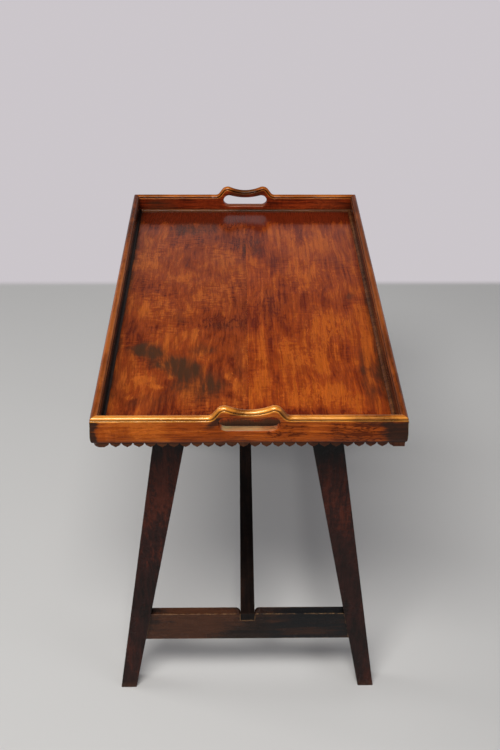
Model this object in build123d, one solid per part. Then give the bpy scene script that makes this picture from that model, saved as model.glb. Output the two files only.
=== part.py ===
from build123d import *
from math import asin, atan, atan2, cos, degrees, pi, sin
import os

# Butler tray on a fixed splayed stand, in millimetres.
# X runs across the tray, Y along it, Z up. The origin is on the floor under the middle.

# Stand, overall, its reach measured from the edges of the tray
stand_height = 657.5
foot_set_in_y = 2.5
top_set_in_y = 100.5
foot_set_out_x = 6.0
top_set_in_x = 97.0

# Legs
leg_foot_width = 30.5
leg_top_width = 57.5
leg_thickness = 30.0
leg_arris = 1.6

# Rails and stretchers of the stand
end_rail_height = 62.0
end_rail_thickness = 19.0
side_rail_height = 62.0
side_rail_thickness = 22.0
side_rail_from_outer = 10.0
stretcher_top_z = 186.4
stretcher_height = 63.0
stretcher_thickness = 19.0
medial_width = 27.0
medial_depth = 16.5
medial_mouth_radius = 11.0
rail_arris = 0.9

# Mortise and tenon joints of the stand
tenon_thickness = 9.0
tenon_length = 18.0
tenon_shoulder = 8.0
tenon_haunch = 14.0
mortise_clearance = 0.1
mortise_end_gap = 1.0

# Tray, overall
tray_width = 493.0
tray_length = 777.0

# Gallery boards
board_thickness = 13.0
board_height = 48.5
board_belly = 1.8
belly_rise = 10.5
board_foot_round = 1.8
nosing_width = 12.0
nosing_drop = 4.0
quirk_gap = 1.4
shoulder_radius = 2.0
crest_seat = 3.0
crest_lap = 1.5

# Serpentine handles, measured from the middle of the board and from its straight crest
handle_rise = 19.5
handle_dip = 11.0
peak_reach = 38.5
rise_start = 65.0
peak_radius = 15.0
foot_radius = 9.5

# Hand holes
hole_reach = 47.7
hole_floor_drop = 24.0
hole_height = 24.8
hole_middle_height = 19.7
hole_edge_radius = 3.2
hole_edge_facets = 3
hole_edge_lift = 1.0

# Floor of the tray, its top face measured from the foot of the boards
floor_rise = 12.5
floor_thickness = 10.0
floor_tongue = 5.0
floor_tongue_reach = 4.4
floor_groove_depth = 5.0
floor_clearance = 0.1
foot_bead_radius = 4.5

# Loose splines across the mitred corners
spline_thickness = 2.5
spline_reach = 4.0
spline_drop = 13.0
spline_floor_gap = 5.0
spline_clearance = 0.1
spline_depth_share = 0.62

# Pinked apron under the boards
apron_hang = 10.0
apron_recess = 1.0
apron_block = 26.6
apron_web = 1.2
tooth_pitch = 18.24
tooth_knee_shares = (0.13, 0.5)

# Overrun of every cut past the faces that it opens, and of a flared cut
overrun = 20.0
flare_overrun = 2.0
mitre_turn = 45.0

# Places that follow from the sizes above
well_depth = board_height - floor_rise
board_belly_drop = board_height - belly_rise
spline_height = well_depth - spline_drop - spline_floor_gap
floor_top_z = stand_height + floor_thickness
crest_z = floor_top_z + well_depth
board_foot_z = crest_z - board_height
half_board = board_thickness / 2
half_width = tray_width / 2
half_length = tray_length / 2
foot_reach_y = half_length - foot_set_in_y
top_reach_y = half_length - top_set_in_y
foot_outer_x = half_width + foot_set_out_x
top_outer_x = half_width - top_set_in_x
shoulder_top = nosing_drop + quirk_gap
face_top = shoulder_top + shoulder_radius
crest_depth = face_top + crest_seat
lean = atan((foot_reach_y - top_reach_y) / stand_height)
foot_inner_x = foot_outer_x - leg_foot_width
top_inner_x = top_outer_x - leg_top_width
mitre_reach = board_thickness + foot_bead_radius + overrun

os.makedirs("parts", exist_ok=True)


def save(shape, name):
    """Write one piece to its file."""
    export_step(shape, f"parts/{name}.step")


def box_between(low, high):
    """Box from its lowest corner to its highest corner."""
    size = Vector(*high) - Vector(*low)
    middle = (Vector(*high) + Vector(*low)) / 2
    return Pos(middle.X, middle.Y, middle.Z) * Box(size.X, size.Y, size.Z)


def prism(corners, depth, direction):
    """Straight prism on a flat outline of corners."""
    face = make_face(Polyline(*corners, close=True).edges())
    return extrude(face, amount=depth, dir=direction)


def arc_about(centre, radius, start, end):
    """Arc round a centre, from one unit direction to another less than half a turn away."""
    middle = (start + end).normalized()
    return ThreePointArc(centre + start * radius, centre + middle * radius, centre + end * radius)


# Gallery boards

def on_section(across, drop, place, outward):
    """Point of a board's section: across from its middle plane, drop below its crest."""
    return place + outward * across - Vector(0, 0, drop)


def crest_edges(place, outward):
    """Rounded nosing with a quirk and a softened shoulder under it on both faces."""
    half_nosing = nosing_width / 2
    edges = [
        ThreePointArc(
            on_section(-half_nosing, nosing_drop, place, outward),
            on_section(0, 0, place, outward),
            on_section(half_nosing, nosing_drop, place, outward),
        )
    ]
    for side in (1, -1):
        shoulder_in = half_board - shoulder_radius
        round_centre = on_section(side * shoulder_in, face_top, place, outward)
        nosing_edge = on_section(side * half_nosing, nosing_drop, place, outward)
        quirk_root = on_section(side * shoulder_in, shoulder_top, place, outward)
        slant = (outward * side + Vector(0, 0, 1)).normalized()
        face_edge = on_section(side * half_board, face_top, place, outward)
        edges.append(Line(nosing_edge, quirk_root))
        edges.append(Line(quirk_root, round_centre + slant * shoulder_radius))
        edges.append(Line(round_centre + slant * shoulder_radius, face_edge))
    return edges


def swell_arc(end_drop, set_in, place, outward):
    """Arc of a board's outer face, from a level where it is set in to its fullest line."""
    height = abs(end_drop - board_belly_drop)
    radius = (height**2 + set_in**2) / (2 * set_in)
    half_turn = asin(height / radius) / 2
    fullest = half_board + board_belly
    towards = 1 if end_drop > board_belly_drop else -1
    middle_across = fullest - radius + radius * cos(half_turn)
    middle_drop = board_belly_drop + towards * radius * sin(half_turn)
    return ThreePointArc(
        on_section(fullest - set_in, end_drop, place, outward),
        on_section(middle_across, middle_drop, place, outward),
        on_section(fullest, board_belly_drop, place, outward),
    )


def lower_edges(place, outward):
    """Swelled outer face, flat inner face and foot of a board, below its shoulder."""
    foot_across = half_board + board_belly - board_foot_round
    return [
        swell_arc(face_top, board_belly, place, outward),
        swell_arc(board_height, board_foot_round, place, outward),
        Line(
            on_section(foot_across, board_height, place, outward),
            on_section(-half_board, board_height, place, outward),
        ),
        Line(
            on_section(-half_board, board_height, place, outward),
            on_section(-half_board, face_top, place, outward),
        ),
    ]


def level_line(drop, place, outward):
    """Line across a board's section at one level."""
    return Line(
        on_section(-half_board, drop, place, outward), on_section(half_board, drop, place, outward)
    )


def crest_line(drop):
    """Serpentine crest of an end board, lowered square to itself, left end first."""
    dip_radius = (
        peak_reach**2 + (handle_rise - handle_dip) ** 2
    ) / (2 * (handle_rise - handle_dip)) - peak_radius
    dip_centre = Vector(0, 0, handle_dip + dip_radius)
    peak_centre = Vector(peak_reach, 0, handle_rise - peak_radius)
    foot_centre = Vector(rise_start, 0, foot_radius)
    step = foot_centre - peak_centre
    flank_angle = asin((peak_radius + foot_radius) / step.length) - atan2(step.Z, step.X)
    flank_normal = Vector(sin(flank_angle), 0, cos(flank_angle))
    up = Vector(0, 0, 1)
    towards_dip = (dip_centre - peak_centre).normalized()
    dip = arc_about(dip_centre, dip_radius + drop, up * -1, towards_dip * -1)
    peak = arc_about(peak_centre, peak_radius - drop, towards_dip, flank_normal)
    foot = arc_about(foot_centre, foot_radius + drop, flank_normal * -1, up * -1)
    half = [
        dip,
        peak,
        Line(peak @ 1, foot @ 0),
        foot,
        Line(foot @ 1, Vector(half_width + overrun, 0, -drop)),
    ]
    other = [edge.mirror(Plane.YZ) for edge in half]
    return other + half


def hole_outline(grown, depth):
    """Kidney outline of a hand hole, grown square to itself, at one depth in the board."""
    end_radius = hole_height / 2
    end_x = hole_reach - end_radius
    end_z = end_radius - hole_floor_drop
    sag = hole_middle_height - end_radius
    roof_radius = (end_x**2 + sag**2 - end_radius**2) / (2 * (end_radius - sag))
    roof_centre = Vector(0, depth, end_z + sag + roof_radius)
    right_centre = Vector(end_x, depth, end_z)
    left_centre = Vector(-end_x, depth, end_z)
    to_right = (right_centre - roof_centre).normalized()
    to_left = (left_centre - roof_centre).normalized()
    down = Vector(0, 0, -1)
    outer = Vector(1, 0, 0)
    reach = end_radius + grown
    return make_face(
        [
            Line(left_centre + down * reach, right_centre + down * reach),
            arc_about(right_centre, reach, down, outer),
            arc_about(right_centre, reach, outer, to_right * -1),
            arc_about(roof_centre, roof_radius - grown, to_right, to_left),
            arc_about(left_centre, reach, to_left * -1, outer * -1),
            arc_about(left_centre, reach, outer * -1, down),
        ]
    )


def hand_hole():
    """Hand hole through a board, with its edges eased towards both faces."""
    flare = []
    for step in range(hole_edge_facets + 1):
        turn = pi / 2 * step / hole_edge_facets
        flare.append((hole_edge_radius * (1 - cos(turn)), hole_edge_radius * (1 - sin(turn))))
    flare.append((hole_edge_radius, -flare_overrun))
    front_face = half_board + hole_edge_lift
    front = [hole_outline(grown, in_from_face - front_face) for grown, in_from_face in reversed(flare)]
    back = [hole_outline(grown, half_board - in_from_face) for grown, in_from_face in flare]
    return loft(front + back, ruled=True)


def mitre_wedge(end):
    """Plan of one side of the tray between its two mitre planes, front or left."""
    width_in, length_in = half_width - mitre_reach, half_length - mitre_reach
    width_out, length_out = half_width + overrun, half_length + overrun
    low = stand_height - board_height
    if end:
        corners = [
            (-width_out, -length_out, low),
            (width_out, -length_out, low),
            (width_in, -length_in, low),
            (-width_in, -length_in, low),
        ]
    else:
        corners = [
            (-width_out, -length_out, low),
            (-width_in, -length_in, low),
            (-width_in, length_in, low),
            (-width_out, length_out, low),
        ]
    return prism(corners, well_depth + handle_rise + board_height * 2, (0, 0, 1))


def floor_groove():
    """Space that the floor's tongue takes in the boards, clearance included."""
    reach_x = half_width - board_thickness + floor_groove_depth
    reach_y = half_length - board_thickness + floor_groove_depth
    middle_z = floor_top_z - floor_thickness / 2
    half_height = floor_tongue / 2 + floor_clearance
    return box_between(
        (-reach_x, -reach_y, middle_z - half_height), (reach_x, reach_y, middle_z + half_height)
    )


def corner_splines(clearance):
    """Four thin tongues, one across each mitre, hidden inside the boards."""
    in_from_corner = board_thickness * spline_depth_share
    top = crest_z - spline_drop + clearance
    bottom = crest_z - spline_drop - spline_height - clearance
    pieces = []
    for side_x in (-1, 1):
        for side_y in (-1, 1):
            blank = Box(
                2 * (spline_reach + clearance), spline_thickness + 2 * clearance, top - bottom
            )
            turned = Rot(0, 0, -mitre_turn * side_x * side_y) * blank
            middle_x = side_x * (half_width - in_from_corner)
            middle_y = side_y * (half_length - in_from_corner)
            pieces.append(Pos(middle_x, middle_y, (top + bottom) / 2) * turned)
    return pieces


def end_board():
    """Front gallery board with its serpentine handle, hand hole and mitred ends."""
    outward = Vector(0, -1, 0)
    far_left = Vector(-half_width - overrun, 0, 0)
    length = 2 * (half_width + overrun)
    lower_outline = lower_edges(far_left, outward) + [level_line(face_top, far_left, outward)]
    lower = extrude(make_face(lower_outline), amount=length, dir=(1, 0, 0))
    section = make_face(
        crest_edges(far_left, outward)
        + [
            Line(
                on_section(side * half_board, face_top, far_left, outward),
                on_section(side * half_board, crest_depth, far_left, outward),
            )
            for side in (1, -1)
        ]
        + [level_line(crest_depth, far_left, outward)]
    )
    crest = sweep(section, path=Wire(crest_line(0)))
    blade_top = crest_line(crest_depth - crest_lap)
    start, end = blade_top[4] @ 1, blade_top[-1] @ 1
    sill = Vector(0, 0, -crest_depth - crest_seat)
    blade_face = make_face(
        blade_top
        + [
            Line(start, Vector(start.X, 0, sill.Z)),
            Line(Vector(start.X, 0, sill.Z), Vector(end.X, 0, sill.Z)),
            Line(Vector(end.X, 0, sill.Z), end),
        ]
    )
    blade = extrude(blade_face, amount=half_board, dir=(0, 1, 0), both=True)
    board = (lower + crest + blade).clean() - hand_hole()
    placed = Pos(0, -(half_length - half_board), crest_z) * board
    return fit_to_tray(placed, True)


def side_board():
    """Left gallery board, straight, with mitred ends."""
    outward = Vector(-1, 0, 0)
    place = Vector(-(half_width - half_board), -half_length - overrun, crest_z)
    section = make_face(crest_edges(place, outward) + lower_edges(place, outward))
    board = extrude(section, amount=2 * (half_length + overrun), dir=(0, 1, 0))
    return fit_to_tray(board, False)


def fit_to_tray(board, end):
    """Cut a board's mitres, its groove for the floor and its slots for the splines."""
    board = board & mitre_wedge(end)
    board = board - floor_groove()
    for slot in corner_splines(spline_clearance):
        board = board - slot
    return board


def foot_bead(end):
    """Quarter-round bead at the foot of one wall of the well, front or left."""
    if end:
        corner = Vector(-half_width, -(half_length - board_thickness), floor_top_z)
        inward, along, length = Vector(0, 1, 0), Vector(1, 0, 0), tray_width
    else:
        corner = Vector(-(half_width - board_thickness), -half_length, floor_top_z)
        inward, along, length = Vector(1, 0, 0), Vector(0, 1, 0), tray_length
    up = Vector(0, 0, 1)
    section = make_face(
        [
            Line(corner, corner + inward * foot_bead_radius),
            arc_about(corner, foot_bead_radius, inward, up),
            Line(corner + up * foot_bead_radius, corner),
        ]
    )
    return extrude(section, amount=length, dir=along) & mitre_wedge(end)


# Floor of the tray

def floor_board():
    """Left half of the floor, tongued on three edges and jointed along the middle."""
    inner_x = half_width - board_thickness - floor_clearance
    inner_y = half_length - board_thickness - floor_clearance
    middle_z = floor_top_z - floor_thickness / 2
    panel = box_between((-inner_x, -inner_y, stand_height), (0, inner_y, floor_top_z))
    tongue = box_between(
        (-inner_x - floor_tongue_reach, -inner_y - floor_tongue_reach, middle_z - floor_tongue / 2),
        (0, inner_y + floor_tongue_reach, middle_z + floor_tongue / 2),
    )
    return panel + tongue


# Pinked apron

def apron_outline(half_span):
    """Outline of an apron strip as along and down pairs, pinked between two plain blocks."""
    zone = 2 * (half_span - apron_block)
    count = round(zone / tooth_pitch)
    pitch = zone / count
    depth = apron_hang - apron_web
    knee_along = tooth_knee_shares[0] * pitch
    knee_down = apron_web + tooth_knee_shares[1] * depth
    lower = [(-half_span, apron_hang), (-zone / 2 - pitch / 2, apron_hang)]
    for index in range(count + 1):
        notch = -zone / 2 + index * pitch
        lower.append((notch - knee_along, knee_down))
        lower.append((notch, apron_web))
        lower.append((notch + knee_along, knee_down))
        if index < count:
            lower.append((notch + pitch / 2, apron_hang))
    lower += [(zone / 2 + pitch / 2, apron_hang), (half_span, apron_hang)]
    return [(-half_span, 0)] + lower + [(half_span, 0)]


def apron(end):
    """Pinked strip under the front or the left board, set back and mitred at its ends."""
    set_in = board_foot_round - board_belly + apron_recess
    depth = board_thickness - set_in
    if end:
        outline = apron_outline(half_width - set_in)
        face_y = -(half_length - set_in)
        corners = [(along, face_y, board_foot_z - down) for along, down in outline]
        strip = prism(corners, depth, (0, 1, 0))
    else:
        outline = apron_outline(half_length - set_in)
        face_x = -(half_width - set_in)
        corners = [(face_x, along, board_foot_z - down) for along, down in outline]
        strip = prism(corners, depth, (1, 0, 0))
    return strip & mitre_wedge(end)


# Stand. An end frame is drawn upright, its outer face at Y = 0, and then leaned back.

def leg_outer(z):
    """Outer edge of a leg at a height above the floor."""
    return foot_outer_x + (top_outer_x - foot_outer_x) * z / stand_height


def leg_inner(z):
    """Inner edge of a leg at a height above the floor."""
    return foot_inner_x + (top_inner_x - foot_inner_x) * z / stand_height


def in_frame(x, z, depth):
    """Point of an end frame before it is leaned back."""
    return (x, depth, z / cos(lean))


def lean_back(solid):
    """Lean an end frame's piece back and stand it at the front."""
    return Pos(0, -foot_reach_y, 0) * Rot(-degrees(lean), 0, 0) * solid


def frame_space(depth):
    """Everything in front of one depth of the front end frame."""
    reach = foot_reach_y
    blank = box_between(
        (-foot_outer_x, -reach, -overrun), (foot_outer_x, depth, stand_height + 2 * overrun)
    )
    return lean_back(blank)


def between_frames(solid, depth):
    """Cut a lengthwise piece off at one depth inside both end frames."""
    space = frame_space(depth)
    return solid - space - space.mirror(Plane.XZ)


def tenon(low, high, side, clearance, end_gap):
    """Tenon from a rail into a leg, or its mortise where there is a clearance."""
    bottom, top = low - clearance, high + clearance
    reach = tenon_length + end_gap
    start = (leg_thickness - tenon_thickness) / 2 - clearance
    corners = [
        in_frame(side * (leg_inner(bottom) - tenon_shoulder), bottom, start),
        in_frame(side * (leg_inner(bottom) + reach), bottom, start),
        in_frame(side * (leg_inner(top) + reach), top, start),
        in_frame(side * (leg_inner(top) - tenon_shoulder), top, start),
    ]
    return prism(corners, tenon_thickness + 2 * clearance, (0, 1, 0))


def cross_rail(low, high, thickness):
    """Rail of an end frame between the two legs, without its tenons."""
    start = (leg_thickness - thickness) / 2
    corners = [
        in_frame(-leg_inner(low), low, start),
        in_frame(leg_inner(low), low, start),
        in_frame(leg_inner(high), high, start),
        in_frame(-leg_inner(high), high, start),
    ]
    blank = prism(corners, thickness, (0, 1, 0))
    return fillet(blank.edges().filter_by(Axis.X), rail_arris)


stretcher_low = stretcher_top_z - stretcher_height
end_rail_low = stand_height - end_rail_height
side_rail_low = stand_height - side_rail_height
side_rail_x = top_outer_x - side_rail_from_outer - side_rail_thickness / 2
stretcher_tenon = (stretcher_low + tenon_shoulder, stretcher_top_z - tenon_shoulder)
end_rail_tenon = (end_rail_low + tenon_shoulder, stand_height - tenon_haunch)


def side_rail_blank(shrink_x, low, high):
    """Lengthwise bar over the left legs, long enough to reach through both frames."""
    half = side_rail_thickness / 2 - shrink_x
    return box_between((-side_rail_x - half, -foot_reach_y, low), (-side_rail_x + half, foot_reach_y, high))


def side_rail_tenons(clearance, end_gap):
    """Tenons at both ends of a side rail, or their mortises where there is a clearance."""
    shrink = (side_rail_thickness - tenon_thickness) / 2 - clearance
    low = side_rail_low + tenon_shoulder - clearance
    high = stand_height - tenon_haunch + clearance
    bar = side_rail_blank(shrink, low, high)
    return between_frames(bar, leg_thickness - tenon_length - end_gap)


def leg():
    """Front left leg, tapered and splayed, with its mortises."""
    low, high = -overrun, stand_height + overrun
    corners = [
        in_frame(-leg_outer(low), low, 0),
        in_frame(-leg_inner(low), low, 0),
        in_frame(-leg_inner(high), high, 0),
        in_frame(-leg_outer(high), high, 0),
    ]
    blank = prism(corners, leg_thickness, (0, 1, 0))
    blank = fillet(blank.edges().sort_by(SortBy.LENGTH)[-4:], leg_arris)
    for low_z, high_z in (stretcher_tenon, end_rail_tenon):
        blank = blank - tenon(low_z, high_z, -1, mortise_clearance, mortise_end_gap)
    room = box_between(
        (-foot_outer_x - overrun, -foot_reach_y - overrun, 0), (0, 0, stand_height)
    )
    stood = lean_back(blank) & room
    return stood - side_rail_tenons(mortise_clearance, mortise_end_gap)


def tenoned(rail, tenon_span):
    """Add a tenon at each end of a cross rail."""
    for side in (-1, 1):
        rail = rail + tenon(*tenon_span, side, 0, 0)
    return rail


def medial_bar(clearance):
    """Bar of the medial stretcher, reaching through both end frames."""
    half = medial_width / 2 + clearance
    return box_between(
        (-half, -foot_reach_y, stretcher_top_z - medial_depth - clearance),
        (half, foot_reach_y, stretcher_top_z),
    )


def medial_mouth():
    """Rounding of both inner corners of the notch that takes the medial stretcher."""
    corner_y = (leg_thickness + stretcher_thickness) / 2
    half = medial_width / 2 + mortise_clearance
    notch_floor = stretcher_top_z - medial_depth - mortise_clearance
    back, up = Vector(0, 1, 0), Vector(0, 0, 1)
    cutter = []
    for side in (-1, 1):
        outward = Vector(side, 0, 0)
        corner = outward * half + back * corner_y
        wide = corner + outward * medial_mouth_radius
        deep = corner - back * medial_mouth_radius
        centre = wide - back * medial_mouth_radius
        outline = [
            arc_about(centre, medial_mouth_radius, back, outward * -1),
            Line(deep, corner + back * overrun),
            Line(corner + back * overrun, wide + back * overrun),
            Line(wide + back * overrun, wide),
        ]
        cutter.append(extrude(make_face(outline), amount=2 * stretcher_top_z, dir=up))
    above = box_between(
        (-foot_outer_x, -foot_reach_y, notch_floor), (foot_outer_x, foot_reach_y, 2 * stretcher_top_z)
    )
    return [lean_back(piece) & above for piece in cutter]


def end_stretcher():
    """Front end stretcher, notched in its top for the medial stretcher."""
    rail = lean_back(tenoned(cross_rail(stretcher_low, stretcher_top_z, stretcher_thickness), stretcher_tenon))
    notch = medial_bar(mortise_clearance)
    head = Pos(0, 0, medial_depth / 2) * notch
    rail = rail - notch - head
    for corner in medial_mouth():
        rail = rail - corner
    return rail


def end_rail():
    """Front top rail of the stand, its top planed level with the legs."""
    blank = tenoned(cross_rail(end_rail_low, stand_height + overrun, end_rail_thickness), end_rail_tenon)
    reach = foot_outer_x + overrun
    return lean_back(blank) & box_between((-reach, -foot_reach_y, 0), (reach, 0, stand_height))


def side_rail():
    """Left top rail of the stand, tenoned into the front and rear legs."""
    bar = side_rail_blank(0, side_rail_low, stand_height)
    bar = fillet(bar.edges().filter_by(Axis.Y), rail_arris)
    return between_frames(bar, leg_thickness) + side_rail_tenons(0, 0)


def medial_stretcher():
    """Stretcher along the middle, lapped into the end stretchers with its ends showing."""
    bar = medial_bar(0)
    bar = fillet(bar.edges().filter_by(Axis.Y), rail_arris)
    return between_frames(bar, (leg_thickness - stretcher_thickness) / 2)


# Pieces, each written to its own file
front_board = end_board()
left_board = side_board()
save(front_board, "front_end_board")
save(front_board.mirror(Plane.XZ), "rear_end_board")
save(left_board, "left_side_board")
save(left_board.mirror(Plane.YZ), "right_side_board")

front_bead = foot_bead(True)
left_bead = foot_bead(False)
save(front_bead, "front_floor_bead")
save(front_bead.mirror(Plane.XZ), "rear_floor_bead")
save(left_bead, "left_floor_bead")
save(left_bead.mirror(Plane.YZ), "right_floor_bead")

front_apron = apron(True)
left_apron = apron(False)
save(front_apron, "front_apron")
save(front_apron.mirror(Plane.XZ), "rear_apron")
save(left_apron, "left_apron")
save(left_apron.mirror(Plane.YZ), "right_apron")

left_floor = floor_board()
save(left_floor, "left_floor_board")
save(left_floor.mirror(Plane.YZ), "right_floor_board")
save(Compound(corner_splines(0)), "corner_splines")

front_left_leg = leg()
rear_left_leg = front_left_leg.mirror(Plane.XZ)
save(front_left_leg, "front_left_leg")
save(rear_left_leg, "rear_left_leg")
save(front_left_leg.mirror(Plane.YZ), "front_right_leg")
save(rear_left_leg.mirror(Plane.YZ), "rear_right_leg")

front_stretcher = end_stretcher()
front_rail = end_rail()
left_rail = side_rail()
save(front_stretcher, "front_stretcher")
save(front_stretcher.mirror(Plane.XZ), "rear_stretcher")
save(medial_stretcher(), "medial_stretcher")
save(front_rail, "front_top_rail")
save(front_rail.mirror(Plane.XZ), "rear_top_rail")
save(left_rail, "left_top_rail")
save(left_rail.mirror(Plane.YZ), "right_top_rail")
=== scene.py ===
"""Looks of a mahogany butler tray on its splayed stand, dressed around the CAD frame."""

import logging
import math
from contextlib import contextmanager
from dataclasses import dataclass
from enum import Enum
from typing import Callable, ClassVar, Iterable, Iterator, Sequence

import bmesh
import bpy
from bmesh.types import BMesh
from bpy.types import ID, Material, Mesh, NodeSocket, NodeTree, Object, World
from mathutils import Matrix, Vector, noise
from mathutils.geometry import delaunay_2d_cdt


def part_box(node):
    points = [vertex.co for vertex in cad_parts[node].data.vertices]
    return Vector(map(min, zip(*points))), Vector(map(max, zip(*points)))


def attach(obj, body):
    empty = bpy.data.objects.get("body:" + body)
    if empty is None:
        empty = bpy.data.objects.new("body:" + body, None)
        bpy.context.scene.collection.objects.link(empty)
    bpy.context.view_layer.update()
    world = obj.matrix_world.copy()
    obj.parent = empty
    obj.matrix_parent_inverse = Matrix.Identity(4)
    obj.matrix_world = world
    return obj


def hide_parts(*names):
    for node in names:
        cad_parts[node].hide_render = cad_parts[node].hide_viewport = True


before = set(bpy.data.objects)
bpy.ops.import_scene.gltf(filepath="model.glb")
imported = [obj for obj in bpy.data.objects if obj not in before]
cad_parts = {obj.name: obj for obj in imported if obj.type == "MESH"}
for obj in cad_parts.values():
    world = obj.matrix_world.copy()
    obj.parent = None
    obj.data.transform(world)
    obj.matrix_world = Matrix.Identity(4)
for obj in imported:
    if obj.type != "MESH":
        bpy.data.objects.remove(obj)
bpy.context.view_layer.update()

MM = 0.001
NOISE_SEED = 5
SHARP_ANGLE = math.radians(38)

# A hair in millimetres, by which the ends of a run are told from its inner points
HAIR = 0.001

# Marks of wear, stains, painted shade and painted highlight: the wave of their rims, how far it swings, the
# most that they add up to, the share of a mark's reach that keeps its strength, and the share over which it
# fades
MARK_WAVE = 26.0
MARK_SWING = 10
MARK_LIMIT = 2.0
MARK_CORE = 0.3
MARK_FADE = 1.1

# Distance in millimetres under which two points count as one
TOUCH = 0.0001

Colour = tuple[float, float, float]
Point = tuple[float, float, float]
Flat = tuple[float, float]
Row = tuple[float, ...]
ORIGIN: Point = (0.0, 0.0, 0.0)

logging.basicConfig(level=logging.INFO, format="%(name)s: %(message)s")
log = logging.getLogger("butler_tray")


class Side(Enum):
    """The four sides of the tray, as quarter turns from the front, seen from above."""

    FRONT = 0
    RIGHT = 1
    REAR = 2
    LEFT = 3

    @property
    def is_end(self) -> bool:
        """True for the two short sides, which carry the handles."""
        return self in (Side.FRONT, Side.REAR)

    @property
    def word(self) -> str:
        """The side's name as the frame's nodes spell it."""
        return self.name.lower()


class Grain(Enum):
    """Direction of the grain, as the turn that lays it along X."""

    ALONG_X = (0.0, 0.0, 0.0)
    ALONG_Y = (0.0, 0.0, math.radians(90))
    UPRIGHT = (0.0, math.radians(90), 0.0)


class Wire:
    """A node's output, whose arithmetic adds Math nodes."""

    def __init__(self, bench: "NodeBench", socket: NodeSocket) -> None:
        """Hold the output and its bench."""
        self.bench = bench
        self.socket = socket

    def __add__(self, other: "Term") -> "Wire":
        """The sum."""
        return self.bench.math("ADD", self, other)

    def __sub__(self, other: "Term") -> "Wire":
        """The difference."""
        return self.bench.math("SUBTRACT", self, other)

    def __rsub__(self, other: "Term") -> "Wire":
        """The difference from a plain value."""
        return self.bench.math("SUBTRACT", other, self)

    def __mul__(self, other: "Term") -> "Wire":
        """The product."""
        return self.bench.math("MULTIPLY", self, other)

    def __truediv__(self, other: "Term") -> "Wire":
        """The quotient."""
        return self.bench.math("DIVIDE", self, other)


Term = Wire | float | Point
Wires = dict[str | int, Wire]


class NodeBench:
    """Adds nodes to one tree, sets them and links them."""

    def __init__(self, tree: NodeTree) -> None:
        """Take the tree that the nodes go into."""
        self.tree = tree

    @classmethod
    def on(cls, holder: Material | World) -> "NodeBench":
        """Bench on the emptied tree of a material or a world.

        Args:
            holder: The material or the world.

        Returns:
            The bench.
        """
        holder.use_nodes = True
        holder.node_tree.nodes.clear()
        return cls(holder.node_tree)

    def add(self, kind: str, sockets: dict | None = None, **settings: object) -> Wires:
        """Add one node.

        Args:
            kind: The node's type name in Blender.
            sockets: Inputs by name or number, each a value, a wire or a list of wires.
            settings: Properties of the node itself.

        Returns:
            The node's outputs, by name and by number.
        """
        node = self.tree.nodes.new(kind)
        for name, value in settings.items():
            setattr(node, name, value)
        for key, value in (sockets or {}).items():
            for part in value if isinstance(value, list) else [value]:
                if isinstance(part, Wire):
                    self.tree.links.new(part.socket, node.inputs[key])
                else:
                    node.inputs[key].default_value = part
        wires = {number: Wire(self, socket) for number, socket in enumerate(node.outputs)}
        return wires | {wire.socket.name: wire for wire in wires.values()}

    def math(self, operation: str, *values: Term) -> Wire:
        """Add a Math node, or a Vector Math node where a value is a vector.

        Args:
            operation: What it does.
            values: Its inputs, in order.

        Returns:
            Its result.
        """
        kinds = {v.socket.type if isinstance(v, Wire) else type(v) for v in values}
        kind = "ShaderNodeVectorMath" if kinds & {"VECTOR", "RGBA", tuple} else "ShaderNodeMath"
        wires = self.add(kind, dict(enumerate(values)), operation=operation)
        return wires["Value" if operation in ("DOT_PRODUCT", "LENGTH") else 0]

    def xyz(self, **parts: Term) -> Wire:
        """Vector of its parts X, Y and Z, 0 where one is left out."""
        return self.add("ShaderNodeCombineXYZ", parts)[0]

    def remap(self, value: Wire, low: float, high: float, to: Flat = (0.0, 1.0)) -> Wire:
        """Value taken smoothly from one range to another."""
        sockets = {"Value": value, "From Min": low, "From Max": high, "To Min": to[0], "To Max": to[1]}
        return self.add("ShaderNodeMapRange", sockets, interpolation_type="SMOOTHSTEP")["Result"]

    def noise(self, vector: Wire, scale: float, detail: float, rough: float = 0.5, bend: float = 0.0) -> Wire:
        """Factor of a noise texture."""
        sockets = {"Vector": vector, "Scale": scale, "Detail": detail, "Roughness": rough, "Distortion": bend}
        return self.add("ShaderNodeTexNoise", sockets)["Fac"]

    def blend(self, share: Term, below: Term, above: Term, kind: str = "MIX") -> Wire:
        """Colour mixed from two colours by a share."""
        below, above = (c if isinstance(c, Wire) else (*c, 1.0) for c in (below, above))
        return self.add("ShaderNodeMix", {0: share, 6: below, 7: above}, data_type="RGBA", blend_type=kind)[2]

    def shaded(self, colour: Wire, factor: Wire) -> Wire:
        """Colour multiplied by a factor."""
        grey = self.add("ShaderNodeCombineColor", {0: factor, 1: factor, 2: factor})[0]
        return self.blend(1.0, colour, grey, "MULTIPLY")

    def read(self, name: str) -> Wire:
        """Value of one of the mesh's own attributes."""
        return self.add("ShaderNodeAttribute", attribute_name=name)["Fac"]

    def seen(self) -> Wire:
        """Tell the rays of the camera, of gloss and of glass from the rest.

        Returns:
            1 on those rays, else 0.
        """
        path = self.add("ShaderNodeLightPath")
        near = self.math("MAXIMUM", path["Is Camera Ray"], path["Is Glossy Ray"])
        return self.math("MAXIMUM", near, path["Is Transmission Ray"])


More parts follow.
